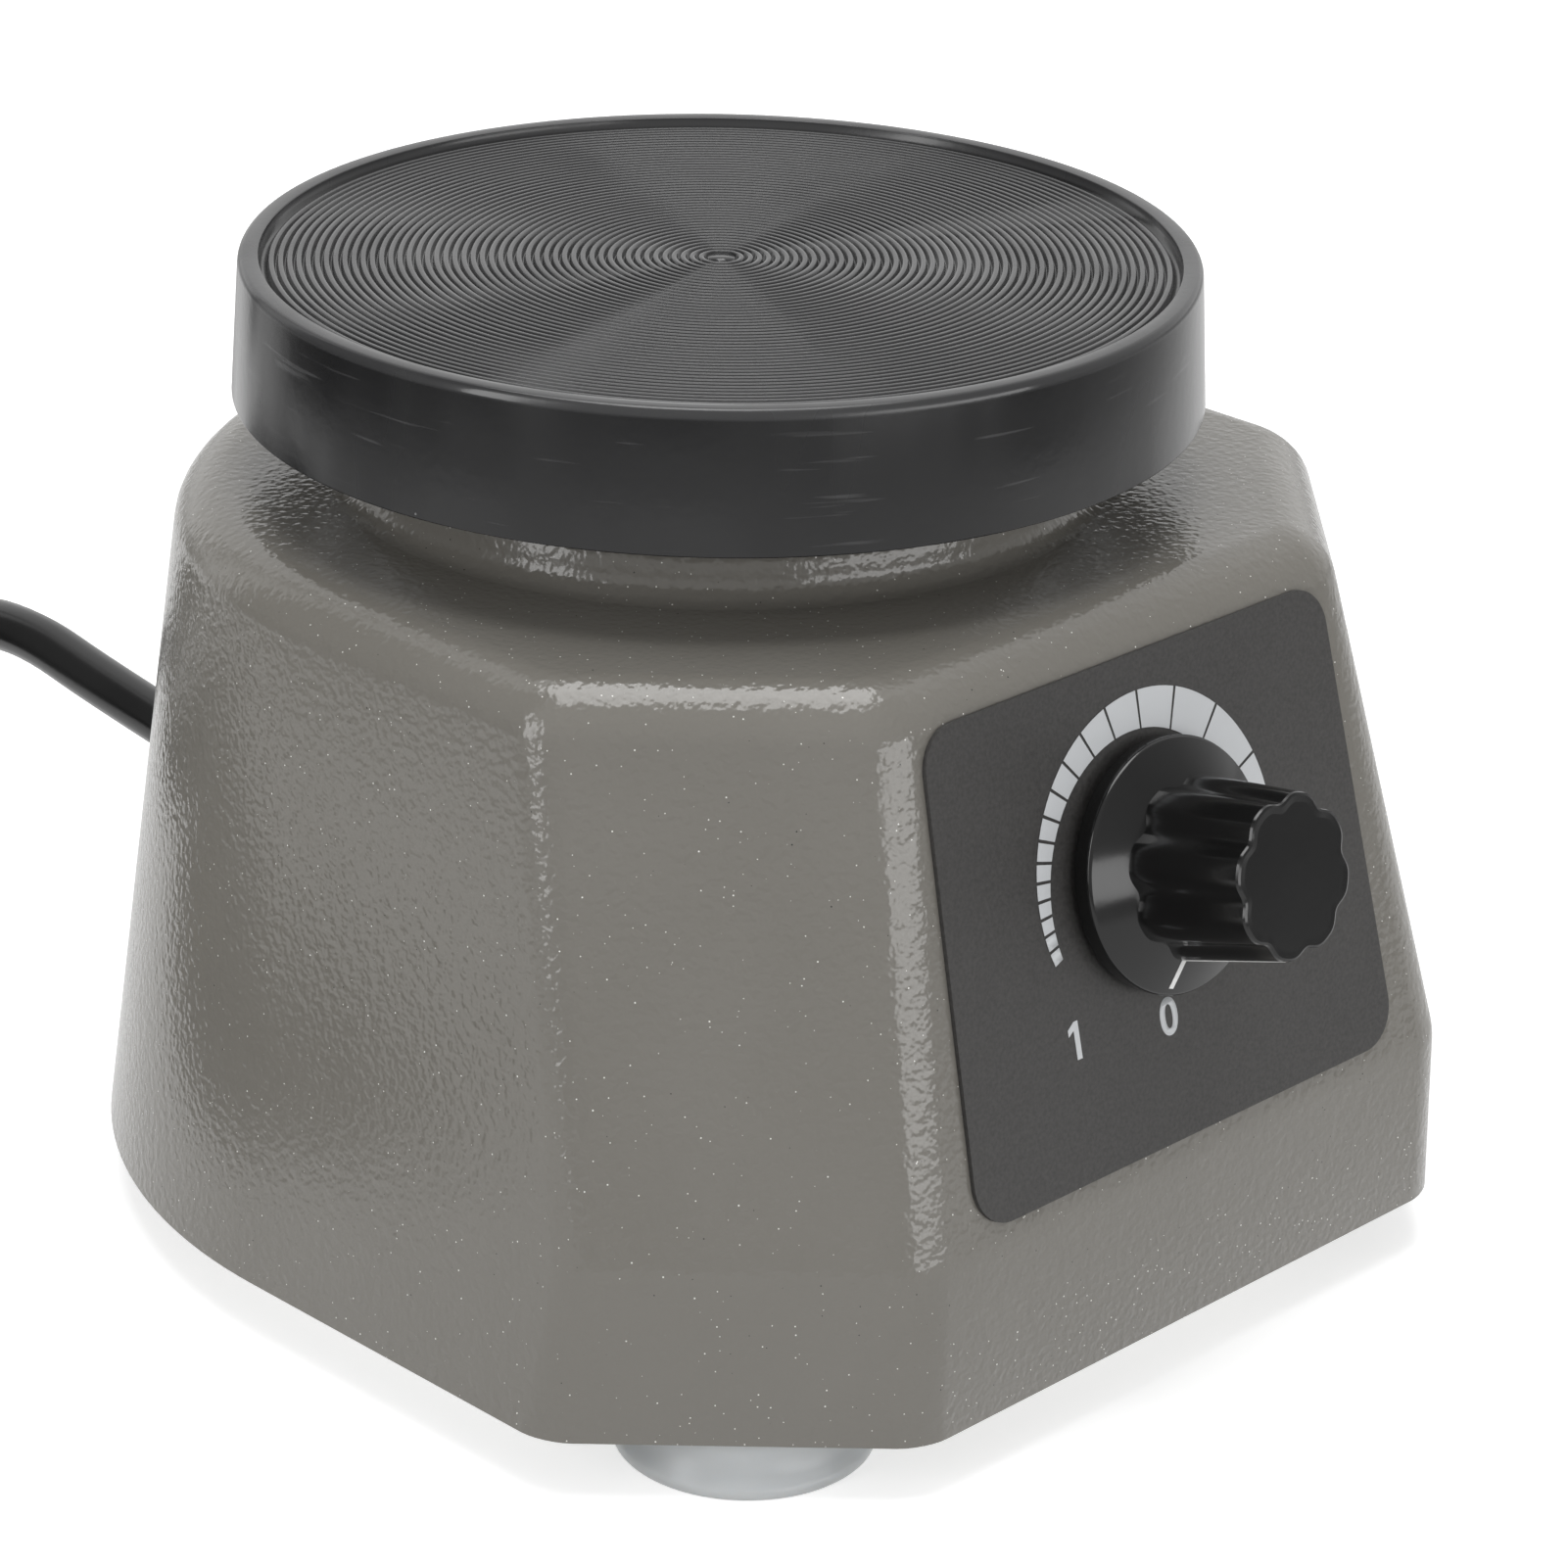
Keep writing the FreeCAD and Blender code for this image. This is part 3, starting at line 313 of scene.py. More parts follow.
def add_piece(name, bm, body, finish, slot, *nodes):
    """Make a smooth-shaded piece from a mesh in the CAD frame. A piece given no body rides on none."""
    bmesh.ops.recalc_face_normals(bm, faces=bm.faces)
    for face in bm.faces:
        face.smooth = True
    mesh = bpy.data.meshes.new(name)
    bm.to_mesh(mesh)
    bm.free()
    mesh.materials.append(finish)
    piece = bpy.data.objects.new(name, mesh)
    bpy.context.scene.collection.objects.link(piece)
    if body:
        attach(piece, body)
    if nodes:
        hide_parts(*nodes)
    return piece


def keep_flats(piece):
    """Shade large flat faces flat and only the roundings between them round."""
    weigh = piece.modifiers.new("flats", "WEIGHTED_NORMAL")
    weigh.weight = 80
    weigh.keep_sharp = True


def make_grain_group():
    """Fine surface grain and slow cloudy change, both on Object coordinates."""
    group = bpy.data.node_groups.new("surface_grain", "ShaderNodeTree")
    for label in ("Grain Scale", "Cloud Scale", "Grain Detail"):
        group.interface.new_socket(label, in_out="INPUT", socket_type="NodeSocketFloat")
    for label in ("Grain", "Cloud"):
        group.interface.new_socket(label, in_out="OUTPUT", socket_type="NodeSocketFloat")
    given = group.nodes.new("NodeGroupInput")
    result = group.nodes.new("NodeGroupOutput")
    place = group.nodes.new("ShaderNodeTexCoord")
    for label in ("Grain", "Cloud"):
        noise = group.nodes.new("ShaderNodeTexNoise")
        group.links.new(place.outputs["Object"], noise.inputs["Vector"])
        group.links.new(given.outputs[label + " Scale"], noise.inputs["Scale"])
        group.links.new(noise.outputs["Fac"], result.inputs[label])
        if label == "Grain":
            group.links.new(given.outputs["Grain Detail"], noise.inputs["Detail"])
        else:
            noise.inputs["Detail"].default_value = CLOUD_DETAIL
    return group


def make_speck_group():
    """Sparse round specks: a mask with one speck in some cells of a Voronoi pattern."""
    group = bpy.data.node_groups.new("specks", "ShaderNodeTree")
    for label in ("Scale", "Size", "Share"):
        group.interface.new_socket(label, in_out="INPUT", socket_type="NodeSocketFloat")
    group.interface.new_socket("Mask", in_out="OUTPUT", socket_type="NodeSocketFloat")
    given = group.nodes.new("NodeGroupInput")
    result = group.nodes.new("NodeGroupOutput")
    place = group.nodes.new("ShaderNodeTexCoord")
    cells = group.nodes.new("ShaderNodeTexVoronoi")
    draw = group.nodes.new("ShaderNodeSeparateColor")
    group.links.new(place.outputs["Object"], cells.inputs["Vector"])
    group.links.new(given.outputs["Scale"], cells.inputs["Scale"])
    group.links.new(cells.outputs["Color"], draw.inputs["Color"])
    size = calculate(group, "MULTIPLY", draw.outputs["Green"], given.outputs["Size"])
    inside = calculate(group, "LESS_THAN", cells.outputs["Distance"], size)
    chosen = calculate(group, "LESS_THAN", draw.outputs["Red"], given.outputs["Share"])
    group.links.new(calculate(group, "MULTIPLY", inside, chosen), result.inputs["Mask"])
    return group


GRAIN = make_grain_group()
SPECKS = make_speck_group()


def grained_finish(name, dark, light, roughness, grain, bump, detail=3.0, speckle=0.0, metallic=0.0):
    """A finish whose colour and gloss drift over the surface, with a fine grain. Roughness is a (low, high)
    pair, grain the grains per metre, bump their depth in metres and speckle their share in the colour."""
    finish = bpy.data.materials.new(name)
    finish.use_nodes = True
    tree = finish.node_tree
    shader = tree.nodes["Principled BSDF"]
    shader.inputs["Metallic"].default_value = metallic
    surface = add_group(tree, GRAIN, grain_scale=grain, cloud_scale=CLOUD_SCALE, grain_detail=detail)
    blend = tree.nodes.new("ShaderNodeMix")
    blend.inputs["Factor"].default_value = speckle
    tint = tree.nodes.new("ShaderNodeMix")
    tint.data_type = "RGBA"
    tint.inputs["A"].default_value = (*dark, 1.0)
    tint.inputs["B"].default_value = (*light, 1.0)
    relief = tree.nodes.new("ShaderNodeBump")
    relief.inputs["Strength"].default_value = 1.0
    relief.inputs["Distance"].default_value = bump
    tree.links.new(surface.outputs["Cloud"], blend.inputs["A"])
    tree.links.new(surface.outputs["Grain"], blend.inputs["B"])
    tree.links.new(remap(tree, blend.outputs["Result"], *NOISE_SPAN), tint.inputs["Factor"])
    tree.links.new(tint.outputs["Result"], shader.inputs["Base Color"])
    tree.links.new(remap(tree, surface.outputs["Cloud"], *NOISE_SPAN, *roughness), shader.inputs["Roughness"])
    tree.links.new(surface.outputs["Grain"], relief.inputs["Height"])
    tree.links.new(relief.outputs["Normal"], shader.inputs["Normal"])
    return finish


def lay_over(finish, mask, colour):
    """Lay another colour over a finish where a mask is 1."""
    tree = finish.node_tree
    shader = tree.nodes["Principled BSDF"]
    over = tree.nodes.new("ShaderNodeMix")
    over.data_type = "RGBA"
    over.inputs["B"].default_value = (*colour, 1.0)
    tree.links.new(mask, over.inputs["Factor"])
    tree.links.new(shader.inputs["Base Color"].links[0].from_socket, over.inputs["A"])
    tree.links.new(over.outputs["Result"], shader.inputs["Base Color"])


def add_specks(finish, colour, scale, size, share):
    """Lay sparse specks of another colour over a finish."""
    specks = add_group(finish.node_tree, SPECKS, scale=scale, size=size, share=share)
    lay_over(finish, specks.outputs["Mask"], colour)


paint = grained_finish("housing_paint", (0.176, 0.167, 0.148), (0.188, 0.179, 0.160),
                       roughness=(0.12, 0.16), grain=1150.0, bump=0.11 * MM, detail=1.0)
add_specks(paint, (0.85, 0.84, 0.80), scale=1300.0, size=0.11, share=0.8)
add_specks(paint, (0.03, 0.03, 0.03), scale=800.0, size=0.07, share=0.5)

housing_bm = bmesh.new()
middle = Matrix.Translation((0.0, 0.0, HOUSING_TOP / 2))
bmesh.ops.create_cone(housing_bm, cap_ends=True, segments=192, radius1=SIDE_BOTTOM, radius2=SIDE_TOP,
                      depth=HOUSING_TOP, matrix=middle)
back_wall = cut_wall(housing_bm, 0.0, (0.0, 0.0), (0.0, HOUSING_TOP))
front_block = bmesh.ops.extrude_face_region(housing_bm, geom=back_wall)
pulled = [item for item in front_block["geom"] if isinstance(item, bmesh.types.BMVert)]
bmesh.ops.translate(housing_bm, verts=pulled, vec=(0.0, -FRONT_REACH, 0.0))
bmesh.ops.delete(housing_bm, geom=[face for face in back_wall if face.is_valid], context="FACES")
for azimuth, foot, skirt, top in ((0.0, FRONT_FOOT, FRONT_SKIRT, FRONT_TOP),
                                  (-pi / 4, CHAMFER_FOOT, CHAMFER_SKIRT, CHAMFER_TOP),
                                  (pi / 4, CHAMFER_FOOT, CHAMFER_SKIRT, CHAMFER_TOP)):
    cut_wall(housing_bm, azimuth, (foot, 0.0), (skirt, SKIRT_TOP))
    cut_wall(housing_bm, azimuth, (skirt, SKIRT_TOP), (top, HOUSING_TOP))
bmesh.ops.recalc_face_normals(housing_bm, faces=housing_bm.faces)
bmesh.ops.dissolve_limit(housing_bm, angle_limit=radians(0.05), verts=housing_bm.verts,
                         edges=housing_bm.edges)
corners = [edge for edge in housing_bm.edges
           if abs(edge.verts[0].co.z - edge.verts[1].co.z) > CORNER_CLIMB
           and edge.calc_face_angle() > CORNER_ANGLE]
round_edges(housing_bm, corners, CORNER_ROUND * tan(pi / 8), segments=6)
creases = [edge for edge in housing_bm.edges
           if all(abs(vert.co.z - SKIRT_TOP) < 0.1 * MM for vert in edge.verts)
           and edge.calc_face_angle() > CREASE_ANGLE]
round_edges(housing_bm, creases, CREASE_ROUND, segments=3)
rim = [edge for edge in housing_bm.edges if all(vert.co.z > HOUSING_TOP - SEAM for vert in edge.verts)]
round_edges(housing_bm, rim, TOP_ROUND * tan(TOP_HALF_ANGLE), segments=8)
lid = max(housing_bm.faces, key=lambda face: face.calc_center_median().z)
outline = list(lid.edges)
bmesh.ops.delete(housing_bm, geom=[lid], context="FACES_ONLY")
opening = bmesh.ops.create_circle(housing_bm, segments=128, radius=BOSS_R + BOSS_ROOT,
                                  matrix=Matrix.Translation((0.0, 0.0, HOUSING_TOP)))
ring = list({edge for vert in opening["verts"] for edge in vert.link_edges})
bmesh.ops.triangle_fill(housing_bm, use_beauty=True, edges=outline + ring)
floor_face = min(housing_bm.faces, key=lambda face: face.calc_center_median().z)
bmesh.ops.delete(housing_bm, geom=[floor_face], context="FACES_ONLY")
turn_profile(housing_bm, [(BOSS_R + BOSS_ROOT, HOUSING_TOP), (BOSS_R, HOUSING_TOP, BOSS_ROOT * 0.98),
                          (BOSS_R, BOSS_TOP, BOSS_ROUND), (STEM_BORE_R, BOSS_TOP, BORE_ROUND),
                          (STEM_BORE_R, BORE_END)], steps=128)
bmesh.ops.remove_doubles(housing_bm, verts=housing_bm.verts, dist=SEAM)
bmesh.ops.translate(housing_bm, verts=housing_bm.verts, vec=AXIS)
housing = add_piece("housing_casting", housing_bm, "base_unit", paint, "housing_paint", "housing")
thickness = housing.modifiers.new("wall", "SOLIDIFY")
thickness.thickness = WALL
thickness.offset = -1.0
keep_flats(housing)


# Rubber cap: a black moulded rubber cup stretched over the table plate. Its top is ringed so that
# nothing slides off, inside a rounded lip, and its bead grips under the plate's edge.
TABLE_R = 49.7 * MM
TABLE_FLARE = 0.9 * MM
TABLE_BOTTOM = 82.0 * MM
TABLE_TOP = 96.7 * MM
CAP_THICK = 3.7 * MM
PLATE_R = 46.8 * MM
PLATE_LOW = 84.0 * MM
BEAD_R = PLATE_R - 1.8 * MM
BEAD_TOP = PLATE_LOW - 0.1 * MM
FIELD = TABLE_TOP - 0.8 * MM
FIRST_GROOVE_R = 1.6 * MM
GROOVE_PITCH = 0.94 * MM
GROOVES = 48
GROOVE_DEPTH = 0.8 * MM
GROOVE_HALF_TOP = 0.20 * MM
GROOVE_HALF_FLOOR = 0.16 * MM
LAND_SIDE = 0.27 * MM
LAND_CROWN = 0.02 * MM
EDGE_DROP = 0.05 * MM
RIM_GROOVE_IN = 46.55 * MM
RIM_GROOVE_OUT = 47.6 * MM
RIM_GROOVE_DRAFT = 0.1 * MM
RIM_GROOVE_DEPTH = 0.9 * MM
LIP_R = 48.6 * MM
LIP_CROWN = 0.05 * MM
LIP_DROP = 0.1 * MM
CAP_STEPS = 180
PALE_TOP_START, PALE_TOP_FULL = FIELD - 0.35 * MM, FIELD - 0.1 * MM
SIDE_START, SIDE_FULL = TABLE_TOP - 2.0 * MM, TABLE_TOP - 3.0 * MM
SCRATCH_SCALE = (70.0, 70.0, 1300.0)
SCRATCH_SPAN = (0.66, 0.74)
HANDLED_SCALE = (70.0, 70.0, 12.0)
HANDLED_SPAN = (0.35, 0.65)
CAP_ROUGHNESS = (0.10, 0.32)
DUST = (0.20, 0.20, 0.20)
PALE_TOP_RUBBER = (0.036, 0.036, 0.037)
SCUFFED_RUBBER = (0.045, 0.045, 0.046)

rubber = grained_finish("cap_rubber", (0.006, 0.006, 0.0065), (0.011, 0.011, 0.0115),
                        roughness=CAP_ROUGHNESS, grain=900.0, bump=0.012 * MM)
add_specks(rubber, DUST, scale=500.0, size=0.07, share=0.12)


def noise_mask(tree, scale, start, end, low=0.0, high=1.0):
    """Patches of noise, stretched by its scale along each axis, where it passes from start to end."""
    place = tree.nodes.new("ShaderNodeTexCoord")
    stretch = tree.nodes.new("ShaderNodeMapping")
    stretch.inputs["Scale"].default_value = scale
    noise = tree.nodes.new("ShaderNodeTexNoise")
    noise.inputs["Scale"].default_value = 1.0
    tree.links.new(place.outputs["Object"], stretch.inputs["Vector"])
    tree.links.new(stretch.outputs["Vector"], noise.inputs["Vector"])
    return remap(tree, noise.outputs["Fac"], start, end, low, high)


def height_mask(tree, none, full):
    """A mask that goes from 0 at one height above the housing's foot to 1 at another."""
    place = tree.nodes.new("ShaderNodeTexCoord")
    split = tree.nodes.new("ShaderNodeSeparateXYZ")
    tree.links.new(place.outputs["Object"], split.inputs["Vector"])
    return remap(tree, split.outputs["Z"], AXIS.z + none, AXIS.z + full)


cap_tree = rubber.node_tree
# The rubber is a paler grey above a height just under the ring tops: on the ring tops, the lip and the rim's
# rounded edge, not in the grooves or down the wall below.
pale_tops = height_mask(cap_tree, PALE_TOP_START, PALE_TOP_FULL)
lay_over(rubber, pale_tops, PALE_TOP_RUBBER)
on_side = height_mask(cap_tree, SIDE_START, SIDE_FULL)
scratches = noise_mask(cap_tree, SCRATCH_SCALE, *SCRATCH_SPAN)
lay_over(rubber, calculate(cap_tree, "MULTIPLY", on_side, scratches), SCUFFED_RUBBER)
handled = noise_mask(cap_tree, HANDLED_SCALE, *HANDLED_SPAN, *CAP_ROUGHNESS)
cap_tree.links.new(handled, cap_tree.nodes["Principled BSDF"].inputs["Roughness"])

cap_bm = bmesh.new()
turn_profile(cap_bm, [(BEAD_R, TABLE_BOTTOM), (BEAD_R, BEAD_TOP), (PLATE_R, BEAD_TOP),
                      (PLATE_R, TABLE_TOP - CAP_THICK), (0.0, TABLE_TOP - CAP_THICK)], CAP_STEPS)
top_profile = [(0.0, FIELD)]
for ring_number in range(GROOVES):
    groove = FIRST_GROOVE_R + ring_number * GROOVE_PITCH
    top_profile += [(groove - GROOVE_HALF_TOP, FIELD - EDGE_DROP),
                    (groove - GROOVE_HALF_FLOOR, FIELD - GROOVE_DEPTH),
                    (groove + GROOVE_HALF_FLOOR, FIELD - GROOVE_DEPTH),
                    (groove + GROOVE_HALF_TOP, FIELD - EDGE_DROP),
                    (groove + LAND_SIDE, FIELD), (groove + GROOVE_PITCH / 2, FIELD + LAND_CROWN),
                    (groove + GROOVE_PITCH - LAND_SIDE, FIELD)]
top_profile += [(RIM_GROOVE_IN, FIELD - EDGE_DROP),
                (RIM_GROOVE_IN + RIM_GROOVE_DRAFT, FIELD - RIM_GROOVE_DEPTH),
                (RIM_GROOVE_OUT - RIM_GROOVE_DRAFT, FIELD - RIM_GROOVE_DEPTH),
                (RIM_GROOVE_OUT, TABLE_TOP - EDGE_DROP, 0.12 * MM),
                (LIP_R, TABLE_TOP + LIP_CROWN, 0.5 * MM), (TABLE_R, TABLE_TOP - LIP_DROP, 0.9 * MM),
                (TABLE_R + TABLE_FLARE, TABLE_BOTTOM, 0.2 * MM), (BEAD_R, TABLE_BOTTOM)]
turn_profile(cap_bm, top_profile, CAP_STEPS)
bmesh.ops.translate(cap_bm, verts=cap_bm.verts, vec=AXIS)
add_piece("rubber_cap", cap_bm, "table", rubber, "rubber_black", "rubber_mat")


# Control plate: a thin charcoal plate stuck on the sloped panel, printed in pale grey with a dial whose
# blocks grow with the strength, and two plain numbers.
PANEL_TILT = atan2(FRONT_SKIRT - FRONT_TOP, HOUSING_TOP - SKIRT_TOP)
KNOB_UP = 30.6 * MM
PLATE_FACE = 0.5 * MM
INK_TOP = PLATE_FACE + 0.03 * MM
INK_THICK = 0.05 * MM
DIAL_R = 17.4 * MM
DIAL_INNER_R = 16.2 * MM
DIAL_WIDENING = 0.0237 * MM
DIAL_RAISE = 0.3 * MM
DIAL_START = radians(201.0)
DIAL_END = radians(-21.0)
DIAL_BLOCKS = 18
BLOCK_STEP = 5.76
BLOCK_GROWTH = 0.00131
BLOCK_GAP = 0.35 * MM / DIAL_R
ARC_STEP = radians(3)
INNER_LIMIT = DIAL_R - 0.3 * MM
ONE_OUTLINE = [(-0.3, -1.95), (0.4, -1.95), (0.4, 1.95), (-0.15, 1.95), (-1.1, 1.3), (-1.1, 0.6), (-0.3, 1.1)]
ONE_PLACE = (-14.8 * MM, -13.8 * MM)
ZERO_PLACE = (-1.5 * MM, -15.7 * MM)
ZERO_HEIGHT = 3.9 * MM
ZERO_BOLD = 0.12 * MM
DIGIT_SHARE = 0.73
knob_centre = AXIS + Vector((0.0, KNOB_UP * sin(PANEL_TILT) - FRONT_SKIRT,
                             SKIRT_TOP + KNOB_UP * cos(PANEL_TILT)))
panel = Matrix.Translation(knob_centre) @ Matrix.Rotation(pi / 2 - PANEL_TILT, 4, "X")

label = grained_finish("panel_plate", (0.026, 0.0245, 0.0235), (0.054, 0.052, 0.050),
                       roughness=(0.48, 0.60), grain=2600.0, bump=0.03 * MM, speckle=0.7)
ink = grained_finish("panel_ink", (0.56, 0.575, 0.59), (0.60, 0.615, 0.63),
                     roughness=(0.40, 0.50), grain=4000.0, bump=0.005 * MM)


def dress(finish, *names):
    """Give CAD nodes that stay in view, or inside the object, their finish."""
    for name in names:
        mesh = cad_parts[name].data
        mesh.materials.clear()
        mesh.materials.append(finish)


def print_mark(name, bm, right, up, lift):
    """Put a printed mark in its place on the control plate."""
    bmesh.ops.transform(bm, matrix=panel @ Matrix.Translation((right, up, lift)), verts=bm.verts)
    keep_flats(add_piece(name, bm, "base_unit", ink, "label_print"))


def block_edge(number):
    """Angle where a block of the dial starts. The blocks grow from the left round to the right."""
    return max(DIAL_START - radians(BLOCK_STEP * number + BLOCK_GROWTH * number ** 4), DIAL_END)


def dial_inner_radius(angle):
    """Radius of the dial's inner edge, which goes inwards by the same step with each degree."""
    return DIAL_INNER_R - DIAL_WIDENING * degrees(DIAL_START - angle)


dress(label, "panel_label")

dial_bm = bmesh.new()
for number in range(DIAL_BLOCKS):
    begin = block_edge(number) - BLOCK_GAP / 2
    sweep = block_edge(number + 1) + BLOCK_GAP / 2 - begin
    spoke = [dial_bm.verts.new((radius * cos(begin), radius * sin(begin), 0.0))
             for radius in (dial_inner_radius(begin), DIAL_R)]
    side = dial_bm.edges.new(spoke)
    bmesh.ops.spin(dial_bm, geom=spoke + [side], cent=(0, 0, 0), axis=(0, 0, 1), angle=sweep,
                   steps=max(2, int(-sweep / ARC_STEP)))
for vert in dial_bm.verts:
    radius = vert.co.xy.length
    if radius < INNER_LIMIT:
        angle = atan2(vert.co.y, vert.co.x)
        if angle < DIAL_END - BLOCK_GAP:
            angle += 2 * pi
        vert.co.xy = vert.co.xy * (dial_inner_radius(angle) / radius)
bmesh.ops.solidify(dial_bm, geom=dial_bm.faces[:], thickness=INK_THICK)
print_mark("dial_print", dial_bm, 0.0, DIAL_RAISE, INK_TOP)

one_bm = bmesh.new()
one_face = one_bm.faces.new([one_bm.verts.new((x * MM, y * MM, 0.0)) for x, y in ONE_OUTLINE])
one_bm.normal_update()
bmesh.ops.solidify(one_bm, geom=[one_face], thickness=INK_THICK)
print_mark("number_one", one_bm, *ONE_PLACE, INK_TOP)

zero_text = bpy.data.curves.new("number_zero", "FONT")
zero_text.body = "0"
zero_text.size = ZERO_HEIGHT / DIGIT_SHARE
zero_text.align_x = "CENTER"
zero_text.align_y = "CENTER"
zero_text.extrude = INK_THICK / 2
zero_text.offset = ZERO_BOLD
holder = bpy.data.objects.new("number_zero_text", zero_text)
bpy.context.scene.collection.objects.link(holder)
bpy.context.view_layer.update()
zero_mesh = bpy.data.meshes.new_from_object(holder.evaluated_get(bpy.context.evaluated_depsgraph_get()))
bpy.data.objects.remove(holder)
zero_bm = bmesh.new()
zero_bm.from_mesh(zero_mesh)
bmesh.ops.remove_doubles(zero_bm, verts=zero_bm.verts, dist=MERGE)
print_mark("number_zero", zero_bm, *ZERO_PLACE, INK_TOP - INK_THICK / 2)


# Knob: gloss black moulded plastic, pushed on the potentiometer's shaft. A thin skirt and a grip with
# eight rounded ridges; a white line runs up the skirt's slope and along one ridge.
KNOB_R = 13.0 * MM
KNOB_LIFT = 1.1 * MM
KNOB_LENGTH = 18.4 * MM
HOLLOW_R = 7.3 * MM
HOLLOW_SEAM = 5.0 * MM
SKIRT_EDGE = 3.3 * MM
SKIRT_DRAFT = 0.2 * MM
SKIRT_ROUND = 0.35 * MM
SKIRT_PEAK = 6.1 * MM
GRIP_FOOT = 5.1 * MM
GRIP_SUNK = 0.3 * MM
GRIP_R_LOW = 9.3 * MM
GRIP_R_END = 8.3 * MM
END_ROUNDING = ((0.35, 0.0), (0.1, 0.1), (0.0, 0.35), (0.05, 1.0))
RIDGES = 8
RIDGE_DEPTH = 0.8 * MM
AROUND = 24 * RIDGES
POINTER = radians(-109)
LINE_HALF = 0.3 * MM
LINE_PROUD = 0.04 * MM
LINE_THICK = 0.15 * MM
LINE_START = (KNOB_R - 0.8 * MM, SKIRT_EDGE + 0.40 * MM + LINE_PROUD)
LINE_SHORT = 0.5 * MM

gloss_black = grained_finish("knob_plastic", (0.005, 0.005, 0.005), (0.008, 0.008, 0.008),
                             roughness=(0.13, 0.20), grain=700.0, bump=0.006 * MM)
white_line = grained_finish("pointer_white", (0.78, 0.78, 0.77), (0.84, 0.84, 0.83),
                            roughness=(0.35, 0.45), grain=3000.0, bump=0.005 * MM)


def grip_radius(angle, outer):
    """Radius of the fluted grip: broad round ridges with narrow hollows between them."""
    wave = abs(sin((angle - POINTER) * RIDGES / 2))
    return outer - RIDGE_DEPTH * wave ** 4


knob_bm = bmesh.new()
turn_profile(knob_bm, [(HOLLOW_R, HOLLOW_SEAM), (HOLLOW_R, KNOB_LIFT),
                       (KNOB_R - SKIRT_DRAFT, KNOB_LIFT, 0.2 * MM), (KNOB_R, SKIRT_EDGE, SKIRT_ROUND),
                       (HOLLOW_R, SKIRT_PEAK), (HOLLOW_R, HOLLOW_SEAM)], steps=128)
foot_ring = bmesh.ops.create_circle(knob_bm, segments=AROUND, radius=GRIP_R_LOW,
                                    matrix=Matrix.Translation((0.0, 0.0, GRIP_FOOT - GRIP_SUNK)))["verts"]
loop = list({edge for vert in foot_ring for edge in vert.link_edges})
bmesh.ops.edgeloop_fill(knob_bm, edges=loop)
for edge in loop:
    edge.smooth = False
grip_rings = [(foot_ring, GRIP_R_LOW)]
for down, inwards in END_ROUNDING:
    grown = bmesh.ops.extrude_edge_only(knob_bm, edges=loop)["geom"]
    loop = [item for item in grown if isinstance(item, bmesh.types.BMEdge)
            and all(vert in grown for vert in item.verts)]
    ring = [item for item in grown if isinstance(item, bmesh.types.BMVert)]
    for vert in ring:
        vert.co.z = KNOB_LENGTH - down * MM
    grip_rings.append((ring, GRIP_R_END - inwards * MM))
bmesh.ops.edgeloop_fill(knob_bm, edges=loop)
for ring, outer in grip_rings:
    for vert in ring:
        angle = atan2(vert.co.y, vert.co.x)
        vert.co.xy = Vector((cos(angle), sin(angle))) * grip_radius(angle, outer)
bmesh.ops.transform(knob_bm, matrix=panel, verts=knob_bm.verts)
keep_flats(add_piece("control_knob", knob_bm, "knob", gloss_black, "black_knob", "knob"))

pointer_bm = bmesh.new()
line_path = [LINE_START, (GRIP_R_LOW + LINE_PROUD, GRIP_FOOT + LINE_PROUD),
             (GRIP_R_END + LINE_PROUD, KNOB_LENGTH - LINE_SHORT)]
edge_verts = [pointer_bm.verts.new((radius, -LINE_HALF, height)) for radius, height in line_path]
stroke = [pointer_bm.edges.new(pair) for pair in zip(edge_verts, edge_verts[1:])]
widened = bmesh.ops.extrude_edge_only(pointer_bm, edges=stroke)["geom"]
bmesh.ops.translate(pointer_bm, verts=[item for item in widened if isinstance(item, bmesh.types.BMVert)],
                    vec=(0.0, 2 * LINE_HALF, 0.0))
pointer_bm.normal_update()
bmesh.ops.solidify(pointer_bm, geom=pointer_bm.faces[:], thickness=LINE_THICK)
bmesh.ops.transform(pointer_bm, matrix=panel @ Matrix.Rotation(POINTER, 4, "Z"), verts=pointer_bm.verts)
keep_flats(add_piece("pointer_line", pointer_bm, "knob", white_line, "label_print"))


# Feet: four soft translucent rubber cushions, each held by a screw in its well. They flare towards the
# bench and end in a thin lip.
FOOT_R = 13.2 * MM
FOOT_WAIST_R = FOOT_R - 1.2 * MM
FOOT_NECK_R = FOOT_R - 1.6 * MM
FOOT_LIP = 1.0 * MM
FOOT_HEIGHT = 6.0 * MM
FOOT_SEAT = -2.0 * MM
FOOT_WAIST = FOOT_SEAT - 1.0 * MM
FOOT_WELL_R = 5.0 * MM
SCREW_HOLE_R = 2.3 * MM
SPIGOT_R = 8.0 * MM
SPIGOT_TOP = 2.0 * MM
FOOT_PLACES = {"front_left": (-42.4, -48.6), "front_right": (42.4, -48.6),
               "rear_left": (-36.0, 34.0), "rear_right": (36.0, 34.0)}

cushion = grained_finish("foot_rubber", (0.50, 0.52, 0.53), (0.56, 0.58, 0.59),
                         roughness=(0.28, 0.40), grain=700.0, bump=0.03 * MM)
cushion_shader = cushion.node_tree.nodes["Principled BSDF"]
cushion_shader.inputs["Subsurface Weight"].default_value = 0.6
cushion_shader.inputs["Subsurface Radius"].default_value = (0.8, 0.9, 1.0)
cushion_shader.inputs["Subsurface Scale"].default_value = 4.0 * MM

